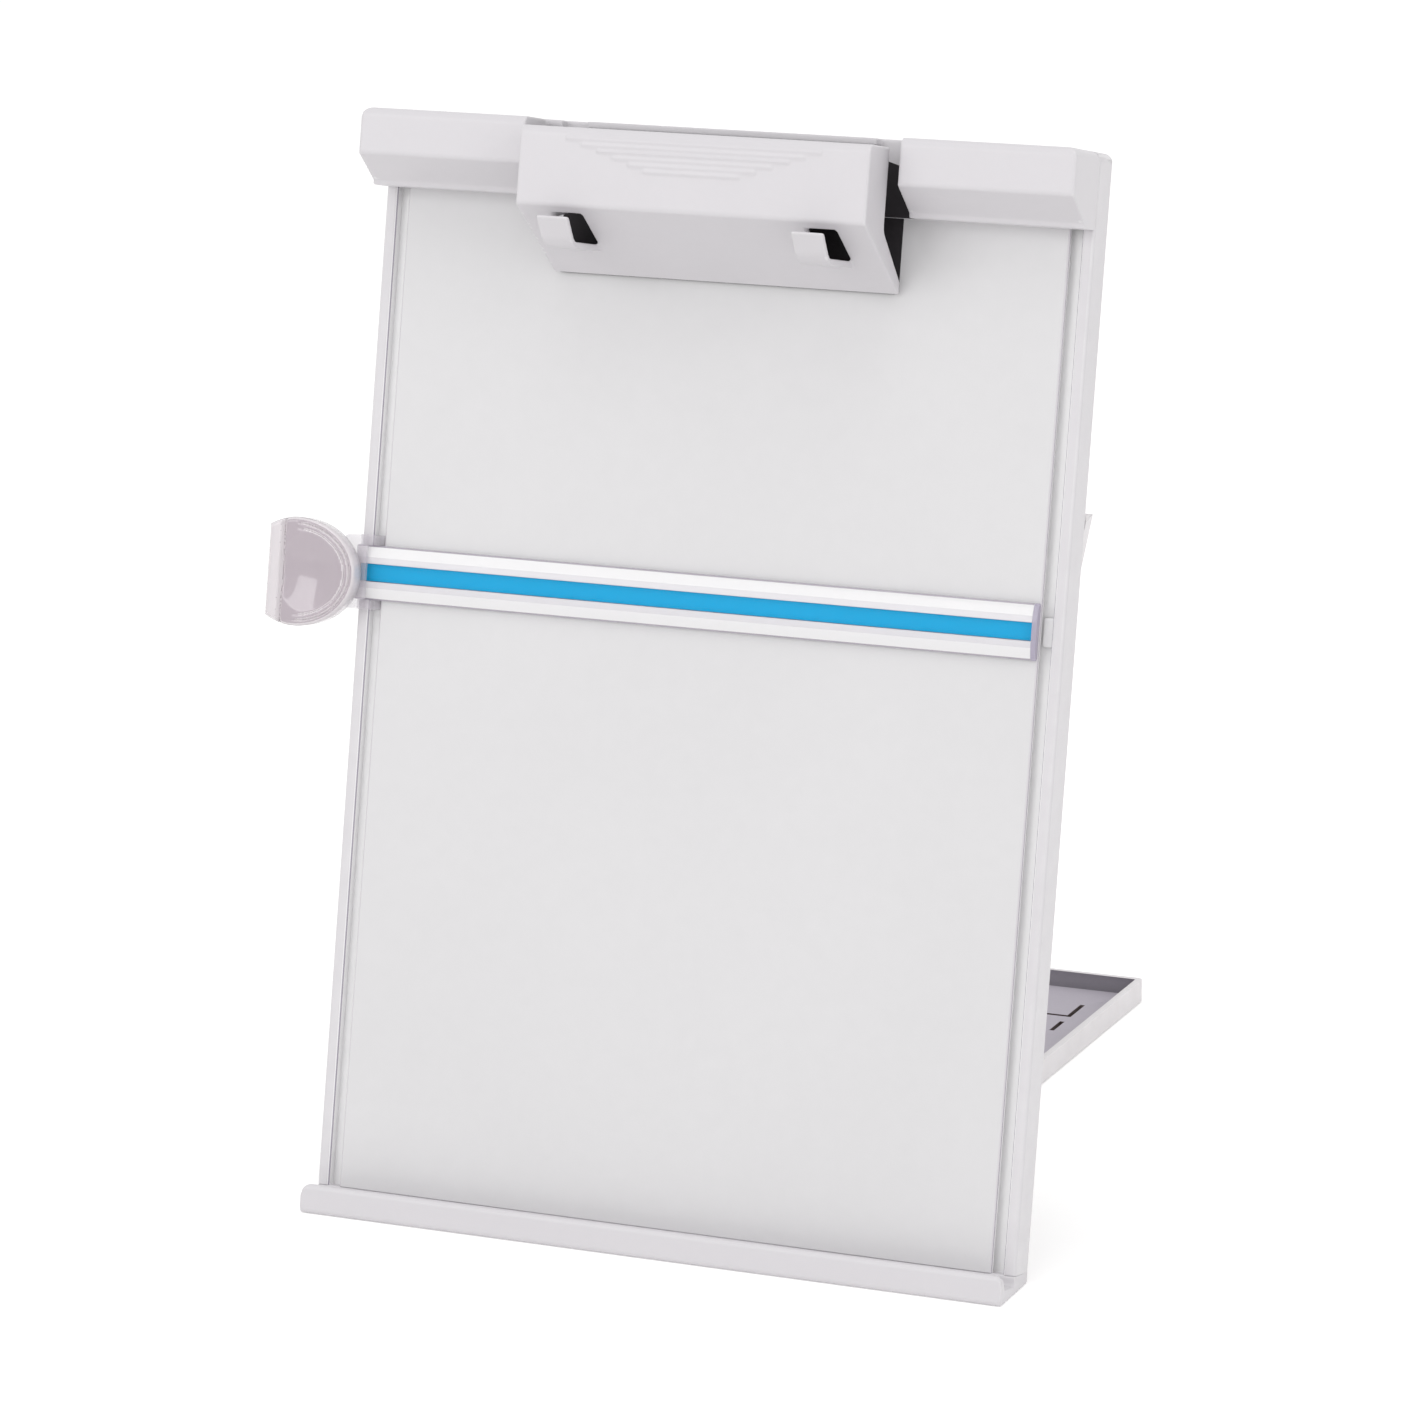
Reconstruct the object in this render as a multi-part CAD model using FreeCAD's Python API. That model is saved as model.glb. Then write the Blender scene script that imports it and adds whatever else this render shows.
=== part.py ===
import FreeCAD, Part
import math
import os

# Copy holder with a sliding line guide, in millimetres.
# The leaning pieces are drawn in the board's own frame and then stood up:
# X runs across, Y points behind the sheet face, Z runs up the board, and
# (0, 0, 0) is the middle of the foot of the sheet face.
# The row frame has the desk at Z = 0, with its origin under that same line.

# Stance
lean = 11.0              # degrees the board leans back
foot_height = 5.6        # height of the foot of the sheet face above the desk

# Board
frame_width = 226.0
frame_length = 327.3
frame_depth = 11.5
rail_width = 3.8         # outer rails beside the channels
channel_width = 3.6
channel_depth = 3.5
channel_floor = 2.0
undercut_width = 1.2     # hollow under the sheet face that holds the guide's toes
undercut_top = 1.6
panel_thickness = 2.4
wall = 2.4
rib_thickness = 1.6
rib_columns = 4
rib_rows = 6
corner_radius = 3.0
back_thickness = 2.0
back_gap = 0.3
back_corner = 1.0
face_edge_radius = 0.8
rail_edge_radius = 1.0
back_edge_radius = 0.6

# Header, measured down from the top of the board
header_height = 22.8
header_lip_depth = 10.0
header_lip_height = 1.4
header_depth = 21.5
header_face_height = 13.9
header_wall = 2.2
header_edge_radius = 2.5
header_fine_radius = 0.5
header_inner_radius = 0.2
cutout_width = 118.6
shelf_depth = 6.0
shelf_notch_width = 8.0
shelf_notch_x = 50.0

# Ledge
ledge_depth = 11.5
lip_thickness = 3.0
lip_rise = 1.2           # lip top above the foot of the sheet face
lip_edge_radius = 1.3
ledge_foot_radius = 1.2
ledge_back_radius = 0.4
trough_radius = 0.6
trough_drop = 3.2        # sheet rests this far below the foot of the sheet face

# Clip lever, measured down from the top of the board
clip_width = 110.0
clip_depth = 34.0
clip_top_drop = 3.0
clip_face_height = 23.3
clip_lip_height = 19.0
clip_wall = 2.2
clip_cheek_depth = 16.0
clip_edge_radius = 2.5
clip_tip_gap = 1.6
clip_lip_radius = 0.4
clip_crease_radius = 1.0
cheek_radius = 4.0
pad_height = 3.4
pad_gap = 0.3
pad_inset = 1.5
pivot_depth = 11.0
pivot_drop = 23.3
pivot_radius = 1.5
ear_radius = 4.2
ear_thickness = 3.5
header_ear_x = 43.0
ear_side_gap = 0.7
clip_ear_thickness = 3.0
clip_ear_drop = 4.0      # foot of the lever's ears below its crease
pin_end = 0.6            # the pin shows this much beyond the ears
ridge_count = 6
ridge_pitch = 1.7
ridge_radius = 0.55
ridge_sink = 0.15
ridge_drop = 3.3
ridge_longest = 80.0
ridge_step = 10.0

# Hooks on the clip
hook_spacing = 80.0
hook_width = 9.8
hook_depth = 41.5
hook_rise = 6.8          # underside of the hooks above the clip's lip
hook_height = 9.0
hook_thickness = 2.0
hook_bend = 3.5
hook_tip_radius = 0.6
window_height = 8.5

# Clip springs: bent strips cradled under the pivot pin
spring_strip = 0.6
spring_width = 8.0
spring_clearance = 0.4
spring_start = 25.0
spring_seat_gap = 0.3
spring_rise = 30.0       # degrees each arm climbs from level

# Line guide
guide_height = 187.6     # middle of the bar above the foot of the sheet face
bar_height = 16.6
bar_thickness = 2.4
bar_crown = 0.5
bar_gap = 0.4
bar_edge_height = 1.0
bar_edge_depth = 0.6
bar_seat = 0.1           # how far the bar reaches into the carriage's leg
bar_end_inset = 0.2
stripe_inset = 1.0
stripe_height = 5.3
stripe_thickness = 0.5
carriage_height = 22.6
carriage_skin = 1.6
carriage_leg = 3.6
carriage_reach = 9.0
carriage_cover = 3.7     # how far the skin covers the bar's end
carriage_corner = 1.5
skin_corner = 1.0
end_cap_radius = 0.8
slide_gap = 0.3
toe_gap = 0.3
grip_height = 33.0
grip_reach = 28.5        # flat side of the grip beyond the rail
grip_overlap = 1.0       # round side of the grip over the rail
grip_thickness = 6.0
grip_band = 4.5
grip_band_rise = 1.2
grip_band_inset = 1.0
grip_band_radius = 1.5
grip_edge = 1.2
grip_dish_radius = 34.0
grip_dish_depth = 1.8
grip_dish_shift = 1.5
leaf_thickness = 0.35
leaf_width = 5.0
leaf_length = 16.0
leaf_bow = 1.1
leaf_front = 1.7
leaf_touch = 0.05
leaf_seat_gap = 0.2

# Base tray
tray_width = 104.0
tray_end = 302.0
tray_lift = 0.4
tray_wall = 2.2
tray_rim = 8.0
tray_floor = 2.0
tray_corner = 2.0
tray_inner_corner = 0.8
hinge_y = 18.4
hinge_radius = 2.0
hinge_ear_radius = 4.4
hinge_ear_thickness = 5.5
hinge_web_rise = 13.2
ear_web_length = 10.5
ear_gap = 0.4
latch_width = 76.0
latch_front = 266.5
latch_length = 15.0
latch_slit = 1.6
latch_mark_length = 11.0
latch_mark_gap = 6.0
foot_pad_size = 10.0
foot_pad_recess = 0.8
foot_pad_inset = 14.0
foot_pad_front = 28.0    # from the hinge to the front pair
foot_pad_back = 10.0     # from the tray's end to the back pair

# Rear leg
leg_thickness = 6.0
leg_rim_gap = 0.5
leg_pivot_y = 88.0
leg_pin_radius = 2.0
leg_top_half = 112.4
leg_neck_half = 104.0
leg_neck = 38.0
leg_shell = 2.0
leg_side_shell = 2.8
leg_end_shell = 3.0
leg_inner_radius = 1.0
leg_ear_clearance = 1.0
leg_rib_inset = 0.5
leg_bend_radius = 20.0
leg_corner_radius = 2.0
leg_ribs = 3
leg_top_gap = 0.3
leg_top_height = 222.6

# Fits
running = 0.06
lap = 0.1                # overlap of blocks that make one solid
sunk = 1.0               # how far bosses and webs run into their wall
through = 1.0            # how far cutters run past a face

# Screws
screw_radius = 1.3
screw_head_radius = 2.6
screw_head_height = 1.6
back_screw_x = 88.0
back_screw_inset = 9.3       # from the top and the foot of the board
header_screw_reach = 10.0
back_screw_reach = 5.0
ledge_screw_reach = 6.0
ledge_hole_spare = 1.0
ledge_screw_x = 64.0
ledge_screw_y = 6.5
boss_radius = 3.4
ledge_boss_radius = 3.0
recess_gap = 0.2
recess_depth = 0.6

half_width = frame_width / 2
panel_half = half_width - rail_width - channel_width
rail_inner = half_width - rail_width
rib_wall = panel_half - undercut_width - wall
floor_back = channel_depth + channel_floor
lean_rad = math.radians(lean)
leg_half_thickness = leg_thickness / 2
hinge_z = tray_rim + leg_rim_gap + leg_half_thickness
header_foot = frame_length - header_height
header_crease = frame_length - header_face_height
clip_top = frame_length - clip_top_drop
clip_crease = clip_top - clip_face_height
clip_lip = clip_crease - clip_lip_height
clip_ear_x = header_ear_x + ear_thickness + ear_side_gap
pivot_height = frame_length - pivot_drop
hook_foot = clip_lip + hook_rise
rib_back = frame_depth - back_thickness
ledge_boss_height = ledge_screw_reach + 2 * ledge_hole_spare
bar_left = -half_width - slide_gap - bar_seat
bar_right = panel_half - bar_end_inset
back_screw_places = [(x, z) for x in (-back_screw_x, back_screw_x)
                     for z in (back_screw_inset, frame_length - back_screw_inset)]


def vec(x, y, z):
    return FreeCAD.Vector(x, y, z)


def box(x0, x1, y0, y1, z0, z1):
    return Part.makeBox(x1 - x0, y1 - y0, z1 - z0, vec(x0, y0, z0))


def rod_x(y, z, radius, x0, x1):
    return Part.makeCylinder(radius, x1 - x0, vec(x0, y, z), vec(1, 0, 0))


def rod_y(x, z, radius, y0, y1):
    return Part.makeCylinder(radius, y1 - y0, vec(x, y0, z), vec(0, 1, 0))


def rod_z(x, y, radius, z0, z1):
    return Part.makeCylinder(radius, z1 - z0, vec(x, y, z0), vec(0, 0, 1))


def outline(points, place):
    """Closed wire through (a, b, radius) corners, each rounded by its radius."""
    edges = []
    count = len(points)
    starts = []
    ends = []
    for index, (a, b, radius) in enumerate(points):
        corner = vec(a, b, 0)
        before = vec(*points[index - 1][:2], 0) - corner
        after = vec(*points[(index + 1) % count][:2], 0) - corner
        before.normalize()
        after.normalize()
        if radius <= 0:
            starts.append(corner)
            ends.append(corner)
            continue
        half = before.getAngle(after) / 2
        cut = radius / math.tan(half)
        middle = before + after
        middle.normalize()
        start = corner + before * cut
        end = corner + after * cut
        centre = corner + middle * (radius / math.sin(half))
        top = centre - middle * radius
        edges.append(Part.Arc(place(start), place(top), place(end)).toShape())
        starts.append(start)
        ends.append(end)
    for index in range(count):
        a = ends[index - 1]
        b = starts[index]
        if (a - b).Length > 1e-6:
            edges.append(Part.LineSegment(place(a), place(b)).toShape())
    return Part.Wire(Part.__sortEdges__(edges))


def prism_x(points, x0, x1):
    """Section of (y, z, radius) corners, drawn out from x0 to x1."""
    wire = outline(points, lambda p: vec(x0, p.x, p.y))
    return Part.Face(wire).extrude(vec(x1 - x0, 0, 0))


def prism_y(points, y0, y1):
    """Outline of (x, z, radius) corners, drawn out from y0 to y1."""
    wire = outline(points, lambda p: vec(p.x, y0, p.y))
    return Part.Face(wire).extrude(vec(0, y1 - y0, 0))


def prism_z(points, z0, z1):
    """Outline of (x, y, radius) corners, drawn out from z0 to z1."""
    wire = outline(points, lambda p: vec(p.x, p.y, z0))
    return Part.Face(wire).extrude(vec(0, 0, z1 - z0))


def mirrored(shape):
    return shape.mirror(vec(0, 0, 0), vec(1, 0, 0))


def both_sides(shape):
    return [shape, mirrored(shape)]


def joined(shapes):
    result = shapes[0].multiFuse(shapes[1:])
    return result.removeSplitter()


def stand(shape):
    """Leans a board piece back and lifts it to its place over the desk."""
    shape = shape.copy()
    shape.rotate(vec(0, 0, 0), vec(1, 0, 0), -lean)
    shape.translate(vec(0, 0, foot_height))
    return shape


def board_point(y, z):
    """Board (Y, Z) of a point given by its row (Y, Z)."""
    low = z - foot_height
    along = y * math.sin(lean_rad) + low * math.cos(lean_rad)
    behind = y * math.cos(lean_rad) - low * math.sin(lean_rad)
    return behind, along


def desk_line(y):
    """Height in the board frame where a piece at depth y meets the desk."""
    return (y * math.sin(lean_rad) - foot_height) / math.cos(lean_rad)


def board_section():
    """Half section of sheet face, channel and rail, mirrored to a whole one."""
    half = [
        (panel_half, 0, face_edge_radius),
        (panel_half, undercut_top, 0),
        (panel_half - undercut_width, undercut_top, 0),
        (panel_half - undercut_width, channel_depth, 0),
        (rail_inner, channel_depth, 0),
        (rail_inner, 0, rail_edge_radius),
        (half_width, 0, rail_edge_radius),
        (half_width, frame_depth, back_edge_radius),
        (half_width - wall, frame_depth, 0),
        (half_width - wall, floor_back, 0),
        (rib_wall, floor_back, 0),
        (rib_wall, panel_thickness, 0),
    ]
    other = [(-x, y, radius) for x, y, radius in reversed(half)]
    return half + other


def hinge_ear(x0):
    """Ear behind the board's foot that carries the tray's hinge rod."""
    y, z = board_point(hinge_y, hinge_z)
    web = prism_x([
        (rib_back, wall + back_gap, 0),
        (y, z - hinge_ear_radius, 0),
        (y, z + hinge_ear_radius, 0),
        (rib_back, z + hinge_web_rise, 0),
    ], x0, x0 + hinge_ear_thickness)
    eye = rod_x(y, z, hinge_ear_radius, x0, x0 + hinge_ear_thickness)
    return web.fuse(eye)


def cross_rib(back, z0, z1):
    """Rib from wall to wall behind the sheet face, clear of both channels."""
    inner = half_width - wall
    middle = box(-rib_wall, rib_wall, panel_thickness, back, z0, z1)
    ends = both_sides(box(rib_wall, inner, floor_back, back, z0, z1))
    return [middle] + ends


def top_corners(front, back):
    """What comes off to round the two upper corners of the board."""
    low = frame_length - corner_radius
    side = half_width - corner_radius
    block = box(side, half_width + through, front, back, low, frame_length + through)
    return both_sides(block.cut(rod_y(side, low, corner_radius, front, back)))


def make_board_frame():
    parts = [prism_z(board_section(), 0, frame_length)]
    parts += cross_rib(frame_depth, 0, wall)
    parts += cross_rib(frame_depth, frame_length - wall, frame_length)
    column_pitch = 2 * panel_half / (rib_columns + 1)
    for index in range(rib_columns):
        x0 = -panel_half + column_pitch * (index + 1) - rib_thickness / 2
        parts.append(box(x0, x0 + rib_thickness, panel_thickness, rib_back, wall, frame_length - wall))
    row_pitch = frame_length / (rib_rows + 1)
    for index in range(1, rib_rows + 1):
        z = row_pitch * index
        parts += cross_rib(rib_back, z - rib_thickness, z)
    for x, z in back_screw_places:
        parts.append(rod_y(x, z, boss_radius, panel_thickness, rib_back))
    for x in (-ledge_screw_x, ledge_screw_x):
        parts.append(rod_z(x, ledge_screw_y, ledge_boss_radius, 0, ledge_boss_height))
    board = joined(parts)
    cuts = top_corners(-through, frame_depth + through)
    for x, z in back_screw_places:
        front = -through if z > header_foot else rib_back - back_screw_reach
        cuts.append(rod_y(x, z, screw_radius, front, frame_depth))
    for x in (-ledge_screw_x, ledge_screw_x):
        cuts.append(rod_z(x, ledge_screw_y, screw_radius, -through,
                          ledge_screw_reach + ledge_hole_spare))
    return stand(board.cut(Part.makeCompound(cuts)))


def flat_head(x, z):
    """Countersunk head, flush with the back of the board."""
    return Part.makeCone(screw_radius, screw_head_radius, screw_head_height,
                         vec(x, frame_depth - screw_head_height, z), vec(0, 1, 0))


def make_back_panel():
    """Flat back of the board, with the two ears that carry the tray's hinge rod."""
    half = half_width - wall - back_gap
    plate = prism_y([
        (half, wall + back_gap, back_corner),
        (half, frame_length - wall - back_gap, back_corner),
        (-half, frame_length - wall - back_gap, back_corner),
        (-half, wall + back_gap, back_corner),
    ], rib_back, frame_depth)
    ear_x = tray_width / 2 - hinge_ear_thickness - ear_gap
    panel = joined([plate] + both_sides(hinge_ear(ear_x - hinge_ear_thickness)))
    y, z = board_point(hinge_y, hinge_z)
    cuts = [rod_x(y, z, hinge_radius, -tray_width, tray_width)]
    for x, z in back_screw_places:
        cuts.append(rod_y(x, z, screw_radius, rib_back - through, frame_depth))
        cuts.append(flat_head(x, z))
    return stand(panel.cut(Part.makeCompound(cuts)))


def make_back_screws():
    """Four countersunk screws; the upper two run on into the header."""
    screws = []
    for x, z in back_screw_places:
        front = -header_screw_reach if z > header_foot else rib_back - back_screw_reach
        shank = rod_y(x, z, screw_radius, front, frame_depth - screw_head_height)
        screws.append(shank.fuse(flat_head(x, z)))
    return stand(Part.makeCompound(screws))


def header_profile(inset):
    """Header section, moved inwards by inset for the hollow inside."""
    lip = header_foot + header_lip_height
    slope = (header_crease - lip) / (header_depth - header_lip_depth)
    drop = inset * math.sqrt(1 + slope * slope)
    top = frame_length - inset
    face = -header_depth + inset
    crease = header_crease + drop - slope * inset
    radius = max(header_edge_radius - inset, header_inner_radius)
    if inset:
        lip_face = -header_lip_depth
        low = lip + drop
        return [(through, low, 0), (lip_face, low, 0), (face, crease, 0), (face, top, radius),
                (through, top, 0)]
    return [
        (0, header_foot, 0),
        (-header_lip_depth, header_foot, header_fine_radius),
        (-header_lip_depth, lip, header_fine_radius),
        (face, crease, header_fine_radius),
        (face, top, radius),
        (0, top, 0),
    ]


def make_header_cover():
    inner_x = cutout_width / 2
    wing = prism_x(header_profile(0), inner_x, half_width)
    hollow = prism_x(header_profile(header_wall), inner_x + header_wall, half_width - header_wall)
    parts = both_sides(wing.cut(hollow))
    screw_z = frame_length - back_screw_inset
    parts += both_sides(rod_y(back_screw_x, screw_z, boss_radius, -header_depth + sunk, 0))
    parts.append(box(-inner_x, inner_x, -header_wall, 0, header_foot, frame_length))
    # shelf along the top, notched where the clip's ears pass
    notch = shelf_notch_width / 2
    for x0, x1 in ((-shelf_notch_x + notch, shelf_notch_x - notch), (shelf_notch_x + notch, inner_x),
                   (-inner_x, -shelf_notch_x - notch)):
        parts.append(box(x0, x1, -shelf_depth, 0, frame_length - header_wall, frame_length))
    ear = prism_x([
        (0, pivot_height + ear_radius * 2, 0),
        (-pivot_depth, pivot_height + ear_radius, 0),
        (-pivot_depth, pivot_height - ear_radius, 0),
        (0, header_foot, 0),
    ], header_ear_x, header_ear_x + ear_thickness)
    eye = rod_x(-pivot_depth, pivot_height, ear_radius, header_ear_x, header_ear_x + ear_thickness)
    parts += both_sides(ear.fuse(eye))
    header = joined(parts)
    cuts = top_corners(-header_depth - through, through)
    cuts.append(rod_x(-pivot_depth, pivot_height, pivot_radius, -clip_width, clip_width))
    cuts += both_sides(rod_y(back_screw_x, screw_z, screw_radius, -header_screw_reach, through))
    return stand(header.cut(Part.makeCompound(cuts)))


def screw(point, direction, length):
    """Pan-head screw: head behind the point, shank along the direction."""
    head = Part.makeCylinder(screw_head_radius, screw_head_height, point, direction * -1)
    shank = Part.makeCylinder(screw_radius, length, point, direction)
    return head.fuse(shank)


def make_ledge_rail():
    lip_back = -ledge_depth + lip_thickness
    rail = prism_x([
        (-ledge_depth, desk_line(-ledge_depth), ledge_foot_radius),
        (frame_depth, desk_line(frame_depth), ledge_back_radius),
        (frame_depth, 0, 0),
        (0, 0, 0),
        (0, -trough_drop, trough_radius),
        (lip_back, -trough_drop, trough_radius),
        (lip_back, lip_rise, lip_edge_radius),
        (-ledge_depth, lip_rise, lip_edge_radius),
    ], -half_width, half_width)
    cuts = both_sides(rod_z(ledge_screw_x, ledge_screw_y, screw_radius, -ledge_depth, through))
    cuts += both_sides(rod_z(ledge_screw_x, ledge_screw_y, screw_head_radius + recess_gap,
                             -ledge_depth, ledge_screw_seat()))
    ends = prism_y([
        (half_width - corner_radius, lip_rise + through, 0),
        (half_width - corner_radius, lip_rise - corner_radius, 0),
        (half_width + through, lip_rise - corner_radius, 0),
        (half_width + through, lip_rise + through, 0),
    ], -ledge_depth - through, lip_back + through)
    round_off = rod_y(half_width - corner_radius, lip_rise - corner_radius,
                      corner_radius, -ledge_depth - 2 * through, 2 * through)
    cuts += both_sides(ends.cut(round_off))
    return stand(rail.cut(Part.makeCompound(cuts)))


def ledge_screw_seat():
    """Height in the board frame of the face that the ledge screws' heads bear on."""
    return desk_line(ledge_screw_y) + screw_head_height + recess_depth


def make_ledge_screws():
    seat = ledge_screw_seat()
    ledge_screw = screw(vec(ledge_screw_x, ledge_screw_y, seat), vec(0, 0, 1),
                        ledge_screw_reach - seat)
    return stand(Part.makeCompound(both_sides(ledge_screw)))


def clip_face_depth(z):
    """Depth in front of the sheet face of the clip's lower face at height z."""
    share = (z - clip_lip) / (clip_crease - clip_lip)
    return clip_tip_gap + share * (clip_depth - clip_tip_gap)


def hook(x0):
    """Upturned hook: a strip bent like a J, standing out of the lower face."""
    root = clip_face_depth(hook_foot) - clip_wall
    inner = hook_bend - hook_thickness
    return prism_x([
        (-root, hook_foot, 0),
        (-hook_depth, hook_foot, hook_bend),
        (-hook_depth, hook_foot + hook_height, hook_tip_radius),
        (-hook_depth + hook_thickness, hook_foot + hook_height, hook_tip_radius),
        (-hook_depth + hook_thickness, hook_foot + hook_thickness, inner),
        (-root, hook_foot + hook_thickness, 0),
    ], x0, x0 + hook_width)


def make_clip_lever():
    half = clip_width / 2
    back = -clip_depth + clip_cheek_depth
    tip = -clip_tip_gap
    pad_top = clip_lip + pad_height + pad_gap * 2
    slope = (clip_crease - clip_lip) / (clip_depth - clip_tip_gap)
    drop = clip_wall * math.sqrt(1 + slope * slope)
    skin = prism_x([
        (tip, clip_lip, clip_lip_radius),
        (-clip_depth, clip_crease, clip_crease_radius),
        (-clip_depth, clip_top, clip_edge_radius),
        (back, clip_top, clip_lip_radius),
        (back, clip_top - clip_wall, 0),
        (-clip_depth + clip_wall, clip_top - clip_wall, clip_edge_radius - clip_wall),
        (-clip_depth + clip_wall, clip_crease + drop - slope * clip_wall, 0),
        (tip, clip_lip + drop, 0),
    ], -half, half)
    cheek = prism_x([
        (tip, clip_lip, clip_lip_radius),
        (-clip_depth, clip_crease, clip_crease_radius),
        (-clip_depth, clip_top, clip_edge_radius),
        (back, clip_top, clip_lip_radius),
        (back, clip_crease - sunk, cheek_radius),
        (tip, pad_top, 0),
    ], half - clip_wall, half)
    ear = prism_x([
        (-clip_depth + sunk, clip_crease + clip_wall, 0),
        (-clip_depth + sunk, clip_top - clip_face_height / 4, 0),
        (-pivot_depth, pivot_height + ear_radius, 0),
        (-pivot_depth, pivot_height - ear_radius, 0),
        (-clip_face_depth(clip_crease - clip_ear_drop) + sunk, clip_crease - clip_ear_drop, 0),
    ], clip_ear_x, clip_ear_x + clip_ear_thickness)
    eye = rod_x(-pivot_depth, pivot_height, ear_radius, clip_ear_x, clip_ear_x + clip_ear_thickness)
    parts = [skin]
    parts += both_sides(cheek)
    parts += both_sides(ear.fuse(eye))
    for index in range(ridge_count):
        z = clip_top - ridge_drop - index * ridge_pitch
        reach = (ridge_longest - index * ridge_step) / 2
        parts.append(rod_x(-clip_depth + ridge_sink, z, ridge_radius, -reach, reach))
    hooks = []
    windows = []
    for side in (-1, 1):
        x0 = side * hook_spacing / 2 - hook_width / 2
        hooks.append(hook(x0))
        foot = hook_foot + hook_thickness
        windows.append(box(x0, x0 + hook_width, -clip_depth, 0, foot, foot + window_height))
    lever = joined(parts).cut(Part.makeCompound(windows))
    lever = joined([lever] + hooks)
    hole = rod_x(-pivot_depth, pivot_height, pivot_radius + running, -half, half)
    return stand(lever.cut(hole))


def make_clip_pivot_pin():
    reach = clip_ear_x + clip_ear_thickness + pin_end
    return stand(rod_x(-pivot_depth, pivot_height, pivot_radius, -reach, reach))


def make_clip_lip_pad():
    half = clip_width / 2 - pad_inset
    foot = clip_lip + pad_gap
    return stand(prism_x([
        (-pad_gap, foot, pad_gap),
        (-clip_tip_gap, foot, 0),
        (-clip_tip_gap, foot + pad_height - pad_gap, 0),
        (-pad_gap, foot + pad_height - pad_gap, pad_gap),
    ], -half, half))


def spring_side(radius):
    """Wires along one face of the strip, from the clip's face to the header's bridge."""
    rise = math.radians(spring_rise)
    out = radius * math.sin(rise)
    low = pivot_height - radius * math.cos(rise)
    bottom = vec(spring_start, -pivot_depth, pivot_height - radius)
    ends = []
    for way, wall_y in ((-1, -clip_depth + clip_wall + spring_seat_gap),
                        (1, -header_wall - spring_seat_gap)):
        turn = vec(spring_start, -pivot_depth + way * out, low)
        reach = abs(wall_y - turn.y)
        ends.append((turn, turn + vec(0, way * reach, reach * math.tan(rise))))
    (front_turn, front_end), (back_turn, back_end) = ends
    edges = [
        Part.LineSegment(front_end, front_turn).toShape(),
        Part.Arc(front_turn, bottom, back_turn).toShape(),
        Part.LineSegment(back_turn, back_end).toShape(),
    ]
    return front_end, back_end, edges


def make_clip_spring(side):
    """Bent strip: one arm bears on the header's bridge, the other on the clip's face."""
    inner_radius = pivot_radius + spring_clearance
    inner_front, inner_back, inner = spring_side(inner_radius)
    outer_front, outer_back, outer = spring_side(inner_radius + spring_strip)
    tips = [Part.LineSegment(inner_front, outer_front).toShape(),
            Part.LineSegment(inner_back, outer_back).toShape()]
    wire = Part.Wire(Part.__sortEdges__(inner + outer + tips))
    spring = Part.Face(wire).extrude(vec(spring_width, 0, 0))
    if side < 0:
        spring = mirrored(spring)
    return stand(spring)


def make_guide_bar():
    back = -bar_gap
    front = back - bar_thickness
    low = guide_height - bar_height / 2
    high = guide_height + bar_height / 2
    edge = front + bar_crown
    crown = Part.Arc(vec(bar_left, edge, low + bar_edge_height), vec(bar_left, front, guide_height),
                     vec(bar_left, edge, high - bar_edge_height)).toShape()
    rest = Part.makePolygon([
        vec(bar_left, edge, high - bar_edge_height),
        vec(bar_left, edge + bar_edge_depth, high),
        vec(bar_left, back, high),
        vec(bar_left, back, low),
        vec(bar_left, edge + bar_edge_depth, low),
        vec(bar_left, edge, low + bar_edge_height),
    ])
    wire = Part.Wire(Part.__sortEdges__([crown] + rest.Edges))
    bar = Part.Face(wire).extrude(vec(bar_right - bar_left, 0, 0))
    groove = box(bar_left + stripe_inset, bar_right + through, back - stripe_thickness, back + through,
                 guide_height - stripe_height / 2, guide_height + stripe_height / 2)
    return stand(bar.cut(groove))


def make_guide_stripe():
    return stand(box(bar_left + stripe_inset, bar_right, -bar_gap - stripe_thickness, -bar_gap,
                     guide_height - stripe_height / 2, guide_height + stripe_height / 2))


def channel_foot(height):
    """Foot that runs in a channel, with a toe under the sheet face."""
    inner = panel_half + toe_gap
    outer = rail_inner - toe_gap
    toe = panel_half - undercut_width + toe_gap
    z0 = guide_height - height / 2
    z1 = guide_height + height / 2
    deep = channel_depth - toe_gap
    stem = box(inner, outer, -bar_gap, deep, z0, z1)
    hook_toe = box(toe, inner + lap, undercut_top + toe_gap, deep, z0, z1)
    return stem.fuse(hook_toe)


def make_guide_end_foot():
    front = -bar_gap - bar_thickness + bar_crown
    z0 = guide_height - bar_height / 2
    z1 = guide_height + bar_height / 2
    cap = prism_z([
        (bar_right, front, 0),
        (rail_inner - toe_gap, front, end_cap_radius),
        (rail_inner - toe_gap, lap, 0),
        (panel_half + toe_gap, lap, 0),
        (panel_half + toe_gap, -bar_gap, 0),
        (bar_right, -bar_gap, 0),
    ], z0, z1)
    return stand(joined([cap, channel_foot(bar_height)]))


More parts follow.
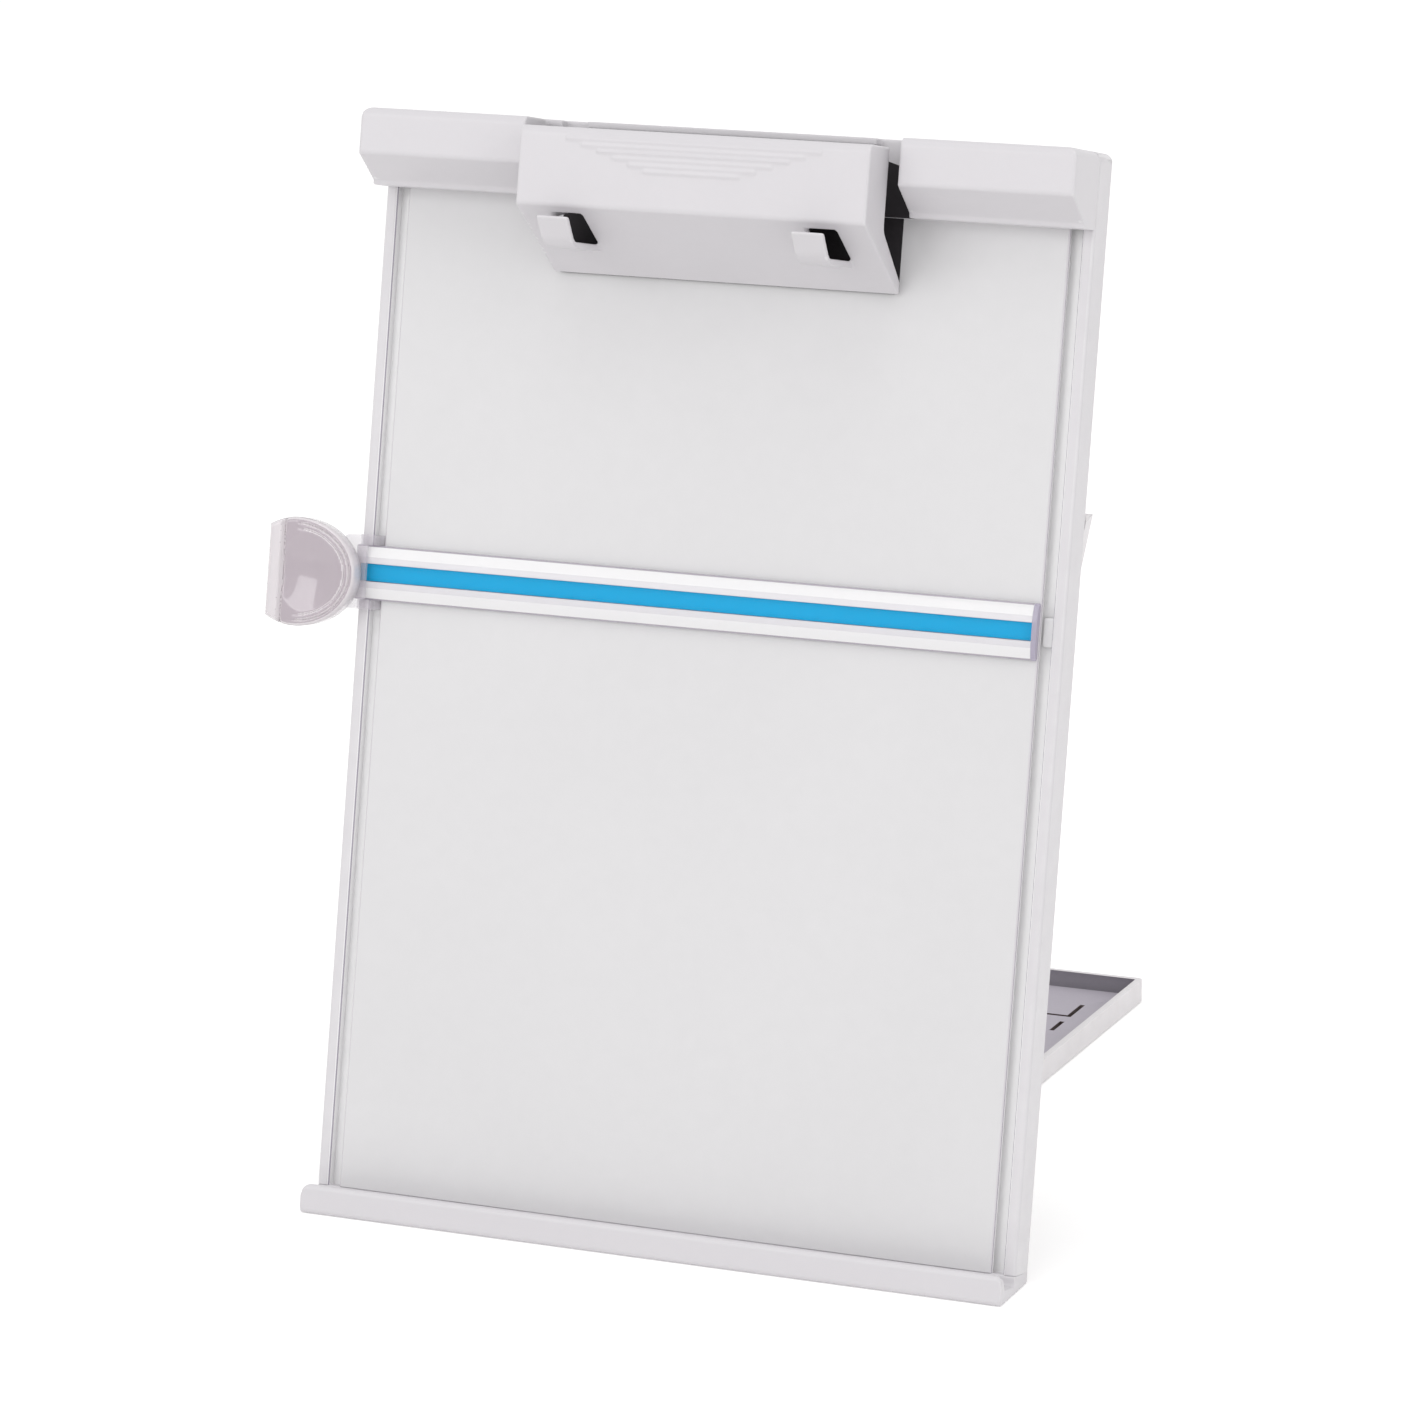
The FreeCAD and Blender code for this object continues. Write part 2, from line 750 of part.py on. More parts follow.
def make_guide_carriage():
    outer = -half_width - slide_gap - carriage_leg
    skin_end = -half_width + carriage_cover
    front = -bar_gap - bar_thickness - carriage_skin
    z0 = guide_height - carriage_height / 2
    z1 = guide_height + carriage_height / 2
    body = prism_y([
        (outer, z0, carriage_corner), (skin_end, z0, skin_corner),
        (skin_end, z1, skin_corner), (outer, z1, carriage_corner),
    ], front, -bar_gap)
    leg = prism_y([
        (outer, z0, carriage_corner), (-half_width - slide_gap, z0, 0),
        (-half_width - slide_gap, z1, 0), (outer, z1, carriage_corner),
    ], -bar_gap - lap, carriage_reach)
    bridges = []
    for low, high in ((z0, guide_height - bar_height / 2), (guide_height + bar_height / 2, z1)):
        bridges.append(box(skin_end - sunk, -panel_half - toe_gap, front + carriage_skin, -bar_gap,
                           low, high))
    foot = mirrored(channel_foot(carriage_height))
    carriage = joined([body, leg, foot] + bridges)
    slot = box(bar_left, 0, front + carriage_skin, -bar_gap,
               guide_height - bar_height / 2, guide_height + bar_height / 2)
    pocket = box(-half_width - slide_gap - leaf_bow - leaf_thickness - leaf_seat_gap, -half_width,
                 leaf_front - leaf_seat_gap, leaf_front + leaf_width + leaf_seat_gap,
                 guide_height - leaf_length / 2 - leaf_seat_gap,
                 guide_height + leaf_length / 2 + leaf_seat_gap)
    return stand(carriage.cut(slot).cut(pocket))


def make_guide_grip():
    back = -bar_gap - bar_thickness - carriage_skin
    front = back - grip_thickness
    half = grip_height / 2
    round_end = -half_width + grip_overlap
    flat = -half_width - grip_reach
    centre = round_end - half
    low = guide_height - half
    high = guide_height + half
    arc = Part.Arc(vec(centre, back, high), vec(round_end, back, guide_height),
                   vec(centre, back, low)).toShape()
    top = Part.LineSegment(vec(centre, back, high), vec(flat, back, high)).toShape()
    side = Part.LineSegment(vec(flat, back, high), vec(flat, back, low)).toShape()
    base = Part.LineSegment(vec(flat, back, low), vec(centre, back, low)).toShape()
    body = Part.Face(Part.Wire(Part.__sortEdges__([arc, top, side, base]))).extrude(
        vec(0, front - back, 0))
    rim = [edge for edge in body.Edges
           if abs(edge.BoundBox.YMax - front) < 1e-4 and abs(edge.BoundBox.YMin - front) < 1e-4]
    body = body.makeChamfer(grip_edge, rim)
    band = prism_y([
        (flat, low + grip_band_inset, grip_band_radius),
        (flat + grip_band, low + grip_band_inset, grip_band_radius),
        (flat + grip_band, high - grip_band_inset, grip_band_radius),
        (flat, high - grip_band_inset, grip_band_radius),
    ], front - grip_band_rise, front + grip_edge)
    dish = Part.makeSphere(grip_dish_radius,
                           vec(centre + grip_dish_shift, front - grip_dish_radius + grip_dish_depth, guide_height))
    return stand(joined([body.cut(dish), band]))


def make_guide_leaf_spring():
    face = -half_width - slide_gap
    z0 = guide_height - leaf_length / 2
    z1 = guide_height + leaf_length / 2

    def bow(offset):
        low = vec(face - leaf_bow - offset, leaf_front, z0)
        high = vec(face - leaf_bow - offset, leaf_front, z1)
        middle = vec(face - leaf_touch - offset, leaf_front, guide_height)
        return low, high, Part.Arc(low, middle, high).toShape()

    low_a, high_a, inner = bow(0)
    low_b, high_b, outer = bow(leaf_thickness)
    ends = [Part.LineSegment(low_a, low_b).toShape(), Part.LineSegment(high_a, high_b).toShape()]
    wire = Part.Wire(Part.__sortEdges__([inner, outer] + ends))
    return stand(Part.Face(wire).extrude(vec(0, leaf_width, 0)))


def tray_ear(y, way, x0, x1):
    """Rounded ear on the tray wall, with its eye at height hinge_z.

    Its web slopes down to the rim behind the eye (way 1) or ahead of it (way -1)."""
    web = box(x0, x1, y - hinge_ear_radius, y + hinge_ear_radius, tray_lift, hinge_z)
    foot = prism_x([
        (y, tray_lift, 0),
        (y + way * ear_web_length, tray_lift, 0),
        (y + way * ear_web_length, tray_rim, 0),
        (y + way * hinge_ear_radius, hinge_z, 0),
        (y, hinge_z, 0),
    ], x0, x1)
    return joined([web, foot, rod_x(y, hinge_z, hinge_ear_radius, x0, x1)])


def make_base_tray():
    half = tray_width / 2
    front = hinge_y - hinge_ear_radius
    shell = prism_z([
        (-half, front, 0), (half, front, 0), (half, tray_end, tray_corner), (-half, tray_end, tray_corner),
    ], tray_lift, tray_rim)
    inside = prism_z([
        (-half + tray_wall, front - through, 0), (half - tray_wall, front - through, 0),
        (half - tray_wall, tray_end - tray_wall, tray_inner_corner),
        (-half + tray_wall, tray_end - tray_wall, tray_inner_corner),
    ], tray_lift + tray_floor, tray_rim + through)
    parts = [shell.cut(inside)]
    ear_x = half - hinge_ear_thickness
    parts += both_sides(tray_ear(hinge_y, 1, ear_x, half))
    parts += both_sides(tray_ear(leg_pivot_y, -1, ear_x, half))
    tray = joined(parts)
    cuts = [rod_x(hinge_y, hinge_z, hinge_radius + running, -half - through, half + through),
            rod_x(leg_pivot_y, hinge_z, leg_pin_radius, -half - through, half + through)]
    floor_cut = (tray_lift - through, tray_lift + tray_floor + through)
    slit_half = latch_width / 2
    cuts.append(box(-slit_half, slit_half, latch_front, latch_front + latch_slit, *floor_cut))
    cuts += both_sides(box(slit_half - latch_slit, slit_half, latch_front,
                           latch_front + latch_length, *floor_cut))
    cuts += both_sides(box(slit_half - latch_slit, slit_half, latch_front - latch_mark_gap - latch_mark_length,
                           latch_front - latch_mark_gap, *floor_cut))
    cuts += foot_pad_blocks(tray_lift - through)
    return tray.cut(Part.makeCompound(cuts))


def foot_pad_blocks(foot):
    """Square blocks at the tray's corners, from height foot to the pads' recess."""
    half = foot_pad_size / 2
    x = tray_width / 2 - foot_pad_inset
    blocks = []
    for y in (hinge_y + foot_pad_front, tray_end - foot_pad_back):
        blocks += both_sides(box(x - half, x + half, y - half, y + half, foot,
                                 tray_lift + foot_pad_recess))
    return blocks


def make_tray_foot_pads():
    return Part.makeCompound(foot_pad_blocks(0))


def make_tray_hinge_rod():
    half = tray_width / 2
    return rod_x(hinge_y, hinge_z, hinge_radius, -half, half)


def make_leg_pivot_rod():
    half = tray_width / 2
    return rod_x(leg_pivot_y, hinge_z, leg_pin_radius, -half, half)


def leg_stance():
    """Length of the leg from its pivot and its angle forward of upright.

    The front of the leg's top edge stands leg_top_gap behind the board's back,
    leg_top_height up the board."""
    behind, along = board_point(leg_pivot_y, hinge_z)
    back = behind - frame_depth - leg_top_gap
    up = leg_top_height - along
    reach = math.hypot(back, up)
    toward = math.atan2(back, up)
    tilt = math.asin(leg_half_thickness / reach)
    length = reach * math.cos(tilt)
    return length, math.degrees(toward - tilt) - lean


def make_rear_leg():
    """Tapered shell leg, drawn upright over its pivot and then leaned forward."""
    length, forward = leg_stance()
    foot_half = tray_width / 2 - hinge_ear_thickness - ear_gap
    clear = hinge_ear_radius + leg_ear_clearance
    half_outline = [
        (foot_half, -leg_half_thickness, 0),
        (foot_half, clear, leg_corner_radius),
        (leg_neck_half, length - leg_neck, leg_bend_radius),
        (leg_top_half, length, leg_corner_radius),
    ]
    whole = half_outline + [(-x, z, r) for x, z, r in reversed(half_outline)]
    body = prism_y(whole, -leg_half_thickness, leg_half_thickness)
    inset = [
        (foot_half - leg_end_shell, clear + leg_half_thickness, leg_inner_radius),
        (leg_neck_half - leg_side_shell, length - leg_neck, leg_bend_radius),
        (leg_top_half - leg_side_shell, length - leg_end_shell, leg_inner_radius),
    ]
    hollow = prism_y(inset + [(-x, z, r) for x, z, r in reversed(inset)],
                     -leg_half_thickness + leg_shell, leg_half_thickness + through)
    body = body.cut(hollow)
    parts = [body]
    span = length - clear
    rib_reach = leg_half_thickness - leg_rib_inset
    for index in range(leg_ribs):
        z = clear + span * (index + 1) / (leg_ribs + 1)
        parts.append(box(-leg_top_half, leg_top_half, -rib_reach, rib_reach, z, z + rib_thickness))
    parts.append(box(-rib_thickness / 2, rib_thickness / 2, -rib_reach, rib_reach,
                     clear, length - sunk))
    leg = joined(parts).common(prism_y(whole, -leg_thickness, leg_thickness))
    # round the foot end about the pivot
    nose = box(-foot_half, foot_half, -leg_half_thickness, leg_half_thickness, -leg_thickness, 0)
    leg = leg.cut(nose.cut(rod_x(0, 0, leg_half_thickness, -foot_half, foot_half)))
    leg = leg.cut(rod_x(0, 0, leg_pin_radius + running, -foot_half - through, foot_half + through))
    leg.rotate(vec(0, 0, 0), vec(1, 0, 0), forward)
    leg.translate(vec(0, leg_pivot_y, hinge_z))
    above = box(-half_width, half_width, 0, leg_pivot_y, leg_top_height, frame_length)
    return leg.cut(stand(above))


pieces = {
    "board_frame": make_board_frame,
    "back_panel": make_back_panel,
    "back_screws": make_back_screws,
    "header_cover": make_header_cover,
    "ledge_rail": make_ledge_rail,
    "ledge_screws": make_ledge_screws,
    "clip_lever": make_clip_lever,
    "clip_pivot_pin": make_clip_pivot_pin,
    "clip_lip_pad": make_clip_lip_pad,
    "clip_spring_left": lambda: make_clip_spring(-1),
    "clip_spring_right": lambda: make_clip_spring(1),
    "guide_bar": make_guide_bar,
    "guide_stripe": make_guide_stripe,
    "guide_end_foot": make_guide_end_foot,
    "guide_carriage": make_guide_carriage,
    "guide_grip": make_guide_grip,
    "guide_leaf_spring": make_guide_leaf_spring,
    "base_tray": make_base_tray,
    "tray_hinge_rod": make_tray_hinge_rod,
    "tray_foot_pads": make_tray_foot_pads,
    "rear_leg": make_rear_leg,
    "leg_pivot_rod": make_leg_pivot_rod,
}

os.makedirs("parts", exist_ok=True)
for name, make in pieces.items():
    shape = make()
    bounds = shape.BoundBox
    print(name, len(shape.Solids), shape.isValid(), round(shape.Volume, 1),
          [round(v, 1) for v in (bounds.XMin, bounds.XMax, bounds.YMin, bounds.YMax,
                                 bounds.ZMin, bounds.ZMax)])
    shape.exportStep(f"parts/{name}.step")
print("leg length and forward lean", leg_stance())
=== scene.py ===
import math

import bmesh
import bpy
import numpy as np
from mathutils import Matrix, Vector


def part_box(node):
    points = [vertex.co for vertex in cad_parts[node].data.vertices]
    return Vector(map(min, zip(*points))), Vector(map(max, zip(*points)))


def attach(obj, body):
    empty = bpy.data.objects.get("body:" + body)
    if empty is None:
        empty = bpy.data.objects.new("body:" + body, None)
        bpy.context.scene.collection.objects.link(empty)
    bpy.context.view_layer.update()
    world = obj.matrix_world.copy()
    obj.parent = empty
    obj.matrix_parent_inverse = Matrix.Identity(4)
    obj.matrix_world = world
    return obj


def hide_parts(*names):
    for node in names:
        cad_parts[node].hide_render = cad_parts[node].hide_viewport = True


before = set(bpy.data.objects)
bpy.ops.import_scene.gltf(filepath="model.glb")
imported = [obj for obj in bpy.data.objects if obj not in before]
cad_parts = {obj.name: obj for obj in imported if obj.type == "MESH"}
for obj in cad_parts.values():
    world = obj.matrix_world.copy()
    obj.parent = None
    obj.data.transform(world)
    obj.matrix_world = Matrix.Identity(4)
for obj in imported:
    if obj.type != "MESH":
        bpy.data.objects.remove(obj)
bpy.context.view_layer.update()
scene = bpy.context.scene
print("frame loaded")

# Board places are in mm: across, behind the sheet face, up the board
board = dict(lean=11.0, foot=5.6, panelHalf=105.6, channelHalf=109.9, channelDepth=3.7, guide=187.6,
             edgeShadeDepth=0.7, faceSpan=0.2, near=0.1, faceTurn=0.99, sideTurn=0.7)
# Angles in degrees past which an edge stays sharp, and how far large faces outweigh small ones in shading
shading = dict(plainAngle=32.0, mouldAngle=60.0, sweptAngle=25.0, turnedAngle=35.0, gripAngle=50.0,
               weight=90)


# Board frame in mm to the row frame in metres: a turn about X by the lean, then a lift by the foot
def stand(points):
    lean = math.radians(board["lean"])
    x, y, z = np.asarray(points, float).T
    back = y * math.cos(lean) + z * math.sin(lean)
    up = z * math.cos(lean) - y * math.sin(lean) + board["foot"]
    return np.stack([x, back, up], axis=1) / 1000


# The way back, from the row frame in metres to the board frame in mm
def unlean(points):
    lean = math.radians(board["lean"])
    x, y, z = (np.asarray(points, float) * 1000).T
    low = z - board["foot"]
    behind = y * math.cos(lean) - low * math.sin(lean)
    up = y * math.sin(lean) + low * math.cos(lean)
    return np.stack([x, behind, up], axis=1)


def flat(points):  # row frame in mm to metres
    return np.asarray(points, float) / 1000


def readPoints(mesh):
    points = np.empty(len(mesh.vertices) * 3)
    mesh.vertices.foreach_get("co", points)
    return points.reshape(-1, 3)


def writePoints(mesh, points):
    mesh.vertices.foreach_set("co", np.asarray(points, float).ravel())
    mesh.update()


def readFaces(mesh, what):  # one vector for each face
    values = np.empty(len(mesh.polygons) * 3)
    mesh.polygons.foreach_get(what, values)
    return values.reshape(-1, 3)


def newMesh(name, points, faces):  # a surface whose faces point outwards
    mesh = bpy.data.meshes.new(name)
    mesh.from_pydata(points.tolist(), [], faces)
    form = bmesh.new()
    form.from_mesh(mesh)
    bmesh.ops.recalc_face_normals(form, faces=form.faces)
    form.to_mesh(mesh)
    form.free()
    return mesh


def mergedMesh(node):  # a copy of a CAD form as one closed skin
    form = bmesh.new()
    form.from_mesh(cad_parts[node].data)
    bmesh.ops.remove_doubles(form, verts=form.verts, dist=1e-6)
    mesh = bpy.data.meshes.new(node + "Mesh")
    form.to_mesh(mesh)
    form.free()
    return mesh


# Each face takes the material whose number choose gives for its centre and normal, in mm
def paint(mesh, materials, choose=None, toBoard=True):
    mesh.materials.clear()
    for material in materials:
        mesh.materials.append(material)
    if choose is None:
        return
    centres, normals = readFaces(mesh, "center"), readFaces(mesh, "normal")
    if toBoard:
        normals = unlean(normals / 1000) - unlean(np.zeros((1, 3)))
        centres = unlean(centres)
    else:
        centres = centres * 1000
    mesh.polygons.foreach_set("material_index", choose(centres, normals).astype(np.int32))


def showPiece(name, mesh, angle, even=False):
    mesh.shade_smooth()
    mesh.set_sharp_from_angle(angle=math.radians(angle))
    piece = bpy.data.objects.new(name, mesh)
    scene.collection.objects.link(piece)
    if even:
        normals = piece.modifiers.new("evenNormals", "WEIGHTED_NORMAL")
        normals.weight = shading["weight"]
        normals.keep_sharp = True
    return piece


def settle(piece, body, slot, *nodes):
    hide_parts(*nodes)
    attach(piece, body)
    return piece


# Materials
texture = dict(fineScale=21.0, fineShare=0.3, patchScale=46.0, wearScale=160.0)


def addNode(tree, kind, settings=None, links=None):
    node = tree.nodes.new("ShaderNode" + kind)
    for key, value in (settings or {}).items():
        if not isinstance(key, int) and hasattr(node, key):
            setattr(node, key, value)
        else:
            node.inputs[key].default_value = value
    for key, source in (links or {}).items():
        tree.links.new(source, node.inputs[key])
    return node


def newGroup(name, inputs, outputs):
    tree = bpy.data.node_groups.new(name, "ShaderNodeTree")
    for label, kind in inputs:
        tree.interface.new_socket(label, in_out="INPUT", socket_type="NodeSocket" + kind)
    for label, kind in outputs:
        tree.interface.new_socket(label, in_out="OUTPUT", socket_type="NodeSocket" + kind)
    return tree, tree.nodes.new("NodeGroupInput").outputs, tree.nodes.new("NodeGroupOutput").inputs


# (noise - 0.5) * amount + level
def swingAbout(tree, noise, amount, level):
    centred = addNode(tree, "Math", {"operation": "SUBTRACT", 1: 0.5}, {0: noise})
    swing = addNode(tree, "Math", {"operation": "MULTIPLY"}, {0: centred.outputs[0], 1: amount})
    if isinstance(level, float):
        return addNode(tree, "Math", {"operation": "ADD", 1: level}, {0: swing.outputs[0]}).outputs[0]
    return addNode(tree, "Math", {"operation": "ADD"}, {0: swing.outputs[0], 1: level}).outputs[0]


def makeMottle():  # base colour with broad patches and fine speckle
    tree, given, out = newGroup("mottle", [("Base", "Color"), ("Scale", "Float"), ("Amount", "Float")],
                                [("Color", "Color")])
    place = addNode(tree, "TexCoord").outputs["Object"]
    broad = addNode(tree, "TexNoise", {"Detail": 3.0, "Roughness": 0.55},
                    {"Vector": place, "Scale": given["Scale"]})
    fineScale = addNode(tree, "Math", {"operation": "MULTIPLY", 1: texture["fineScale"]},
                        {0: given["Scale"]})
    fine = addNode(tree, "TexNoise", {"Detail": 2.0}, {"Vector": place, "Scale": fineScale.outputs[0]})
    mixed = addNode(tree, "Mix", {"data_type": "FLOAT", 0: texture["fineShare"]},
                    {2: broad.outputs["Fac"], 3: fine.outputs["Fac"]})
    factor = swingAbout(tree, mixed.outputs[0], given["Amount"], 1.0)
    scaled = addNode(tree, "VectorMath", {"operation": "SCALE"}, {0: given["Base"], "Scale": factor})
    tree.links.new(scaled.outputs[0], out["Color"])
    return tree


def makeGrain():  # fine moulded texture: a normal and a roughness
    tree, given, out = newGroup("mouldGrain", [("Scale", "Float"), ("Height", "Float"),
                                               ("Roughness", "Float"), ("Spread", "Float")],
                                [("Normal", "Vector"), ("Roughness", "Float")])
    place = addNode(tree, "TexCoord").outputs["Object"]
    grain = addNode(tree, "TexNoise", {"Detail": 3.0, "Roughness": 0.6},
                    {"Vector": place, "Scale": given["Scale"]})
    bump = addNode(tree, "Bump", {"Strength": 1.0},
                   {"Height": grain.outputs["Fac"], "Distance": given["Height"]})
    patches = addNode(tree, "TexNoise", {"Scale": texture["patchScale"], "Detail": 4.0}, {"Vector": place})
    rough = swingAbout(tree, patches.outputs["Fac"], given["Spread"], given["Roughness"])
    tree.links.new(bump.outputs[0], out["Normal"])
    tree.links.new(rough, out["Roughness"])
    return tree


def makeWear():  # rubbed edges, 0 on flats to 1 on sharp rims
    tree, given, out = newGroup("edgeWear", [("Start", "Float"), ("End", "Float")], [("Mask", "Float")])
    place = addNode(tree, "TexCoord").outputs["Object"]
    edge = addNode(tree, "NewGeometry").outputs["Pointiness"]
    noise = addNode(tree, "TexNoise", {"Scale": texture["wearScale"], "Detail": 3.0}, {"Vector": place})
    ramp = addNode(tree, "MapRange", {}, {"Value": edge, "From Min": given["Start"],
                                          "From Max": given["End"]})
    broken = addNode(tree, "Math", {"operation": "MULTIPLY"},
                     {0: ramp.outputs[0], 1: noise.outputs["Fac"]})
    tree.links.new(broken.outputs[0], out["Mask"])
    return tree


groups = {"mottle": makeMottle(), "grain": makeGrain(), "wear": makeWear()}


def useGroup(tree, key, settings):
    node = tree.nodes.new("ShaderNodeGroup")
    node.node_tree = groups[key]
    for label, value in settings.items():
        node.inputs[label].default_value = value
    return node


def finish(name, colour, mottle, grain, shader, wear=None):
    material = bpy.data.materials.new(name)
    material.use_nodes = True
    tree = material.node_tree
    surface = tree.nodes["Principled BSDF"]
    tint = useGroup(tree, "mottle", {"Base": (*colour, 1.0), "Scale": mottle[0],
                                     "Amount": mottle[1]}).outputs[0]
    if wear:
        mask = useGroup(tree, "wear", {"Start": wear[1], "End": wear[2]}).outputs[0]
        tint = addNode(tree, "Mix", {"data_type": "RGBA", 7: (*wear[0], 1.0)},
                       {0: mask, 6: tint}).outputs[2]
    tree.links.new(tint, surface.inputs["Base Color"])
    skin = useGroup(tree, "grain", {"Scale": grain[0], "Height": grain[1],
                                    "Roughness": grain[2], "Spread": grain[3]})
    tree.links.new(skin.outputs["Normal"], surface.inputs["Normal"])
    tree.links.new(skin.outputs["Roughness"], surface.inputs["Roughness"])
    for label, value in shader.items():
        surface.inputs[label].default_value = value
    return material


# name, colour, (mottle scale, amount), (grain scale, height in m, roughness, spread), shader values,
# and on worn finishes (rubbed colour, pointiness where the wear starts, where it is full)
looks = {
    "plastic": finish("offWhitePlastic", (0.655, 0.636, 0.660), (16.0, 0.07), (2600.0, 0.000025, 0.38, 0.16),
                      {"IOR": 1.49, "Specular IOR Level": 0.45, "Coat Weight": 0.08, "Coat Roughness": 0.2},
                      wear=((0.80, 0.79, 0.80), 0.52, 0.60)),
    "sheetFace": finish("sheetFacePlastic", (0.705, 0.698, 0.708), (9.0, 0.10), (3800.0, 0.00002, 0.42, 0.14),
                        {"IOR": 1.49, "Specular IOR Level": 0.30}),
    # channel walls and floor painted brighter than the plastic, to undo the shade they lie in
    "channel": finish("channelPaintedBright", (0.90, 0.895, 0.90), (24.0, 0.05), (2600.0, 0.00002, 0.30, 0.12),
                      {"IOR": 1.49, "Specular IOR Level": 0.5}),
    # painted shade: the dark line on the channel walls beside the sheet
    "edgeShade": finish("paintedEdgeShade", (0.40, 0.37, 0.43), (80.0, 0.2), (1800.0, 0.00004, 0.55, 0.14),
                   {"Specular IOR Level": 0.3}),
    # painted shade: near black where the clip shades the board, and on the header's bridge behind it
    "shadeUnderClip": finish("paintedShadeUnderClip", (0.028, 0.025, 0.028), (60.0, 0.4), (1500.0, 0.00006, 0.72, 0.15),
                        {"Specular IOR Level": 0.2}),
    "tray": finish("trayPlastic", (0.73, 0.705, 0.715), (20.0, 0.08), (2200.0, 0.00003, 0.46, 0.14),
                   {"IOR": 1.49, "Specular IOR Level": 0.4}, wear=((0.84, 0.82, 0.84), 0.52, 0.60)),
    # painted shade inside the tray's slits
    "traySlitShade": finish("traySlitPaintedShade", (0.10, 0.075, 0.07), (60.0, 0.3), (1500.0, 0.00005, 0.6, 0.14),
                       {"Specular IOR Level": 0.3}),
    # painted shade on the tray walls that face its middle
    "trayWallShade": finish("trayWallPaintedShade", (0.20, 0.185, 0.215), (26.0, 0.2), (1800.0, 0.00006, 0.56, 0.14),
                       {"IOR": 1.49, "Specular IOR Level": 0.3}),
    # painted shade on the tray's floor, which lies in the board's shadow
    "trayFloorShade": finish("trayFloorPaintedShade", (0.46, 0.43, 0.485), (26.0, 0.14), (1800.0, 0.00006, 0.56, 0.14),
                        {"IOR": 1.49, "Specular IOR Level": 0.35}),
    "clear": finish("clearPlastic", (0.74, 0.70, 0.76), (30.0, 0.04), (900.0, 0.000003, 0.12, 0.06),
                    {"IOR": 1.49, "Alpha": 0.30}),
    "barWindow": finish("barWindowPlastic", (0.80, 0.78, 0.80), (30.0, 0.02), (700.0, 0.000002, 0.05, 0.03),
                        {"IOR": 1.49, "Alpha": 0.012}),
    # frosted, and painted light and nearly opaque to cover the shade under the bar
    "barFace": finish("barFaceFrostedLightened", (0.86, 0.835, 0.865), (30.0, 0.03), (700.0, 0.000002, 0.10, 0.05),
                      {"IOR": 1.49, "Alpha": 0.70}),
    # painted highlight: the bar's slopes milky white in place of the reflection on them
    "barSlopeHighlight": finish("barSlopePaintedHighlight", (0.87, 0.862, 0.87), (30.0, 0.02), (700.0, 0.000002, 0.10, 0.05),
                       {"IOR": 1.49, "Alpha": 0.85}),
    # painted shade: dark outlines along the bar's rims
    "barRimShade": finish("barRimPaintedShade", (0.50, 0.46, 0.52), (30.0, 0.1), (700.0, 0.000002, 0.14, 0.05),
                     {"IOR": 1.49, "Alpha": 0.6}),
    "endFoot": finish("endFootPlastic", (0.50, 0.46, 0.57), (40.0, 0.08), (900.0, 0.000004, 0.12, 0.06),
                      {"IOR": 1.49, "Alpha": 0.72}),
    "gripRim": finish("gripRimPlastic", (0.82, 0.775, 0.80), (60.0, 0.06), (900.0, 0.000005, 0.10, 0.08),
                      {"IOR": 1.49, "Transmission Weight": 0.2, "Coat Weight": 0.5, "Coat Roughness": 0.04}),
    "grip": finish("gripPlastic", (0.53, 0.465, 0.51), (60.0, 0.10), (900.0, 0.000005, 0.12, 0.08),
                   {"IOR": 1.49, "Transmission Weight": 0.22, "Coat Weight": 0.6, "Coat Roughness": 0.04}),
    "blue": finish("blueTint", (0.004, 0.41, 0.76), (40.0, 0.08), (1500.0, 0.00001, 0.45, 0.10),
                   {"Specular IOR Level": 0.08}),
    "steel": finish("zincSteel", (0.56, 0.57, 0.59), (120.0, 0.22), (3000.0, 0.000012, 0.30, 0.22),
                    {"Metallic": 1.0}, wear=((0.80, 0.81, 0.82), 0.52, 0.62)),
    "spring": finish("springSteel", (0.40, 0.41, 0.43), (150.0, 0.25), (1700.0, 0.00002, 0.34, 0.20),
                     {"Metallic": 1.0}, wear=((0.66, 0.67, 0.68), 0.52, 0.62)),
    "rubber": finish("greyRubber", (0.085, 0.086, 0.090), (70.0, 0.35), (1200.0, 0.00009, 0.78, 0.14),
                     {"Specular IOR Level": 0.3}, wear=((0.17, 0.17, 0.17), 0.52, 0.60)),
}
print("materials made")


def lookList(*names):
    return [looks[name] for name in names]


# A CAD form with every edge rounded as a mould leaves it: remeshed in cubes (voxel, mm) square to its own
# axes, each point drawn halfway to its neighbours' mean some rounds over, then thinned to a share of faces
def moulded(node, body, slot, materials, mould, choose=None, leaning=True, bend=None):
    mesh = mergedMesh(node)
    points = readPoints(mesh)
    points = unlean(points) if leaning else points * 1000
    writePoints(mesh, bend(points) if bend else points)
    rough = bpy.data.objects.new(node + "Rough", mesh)
    scene.collection.objects.link(rough)
    skin = rough.modifiers.new("skin", "REMESH")
    skin.mode = "VOXEL"
    skin.voxel_size = mould["voxel"]
    relax = rough.modifiers.new("relax", "SMOOTH")
    relax.factor = 0.5
    relax.iterations = mould["rounds"]
    thin = rough.modifiers.new("thin", "DECIMATE")
    thin.ratio = mould["keep"]
    shown = bpy.context.evaluated_depsgraph_get()
    mesh = bpy.data.meshes.new_from_object(rough.evaluated_get(shown))
    bpy.data.objects.remove(rough)
    points = readPoints(mesh)
    low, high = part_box(node)
    writePoints(mesh, np.clip(stand(points) if leaning else flat(points), list(low), list(high)))
    paint(mesh, materials, choose, leaning)
    print(node, "moulded with", len(mesh.polygons), "faces")
    return settle(showPiece(node + "_piece", mesh, shading["mouldAngle"], True), body, slot, node)


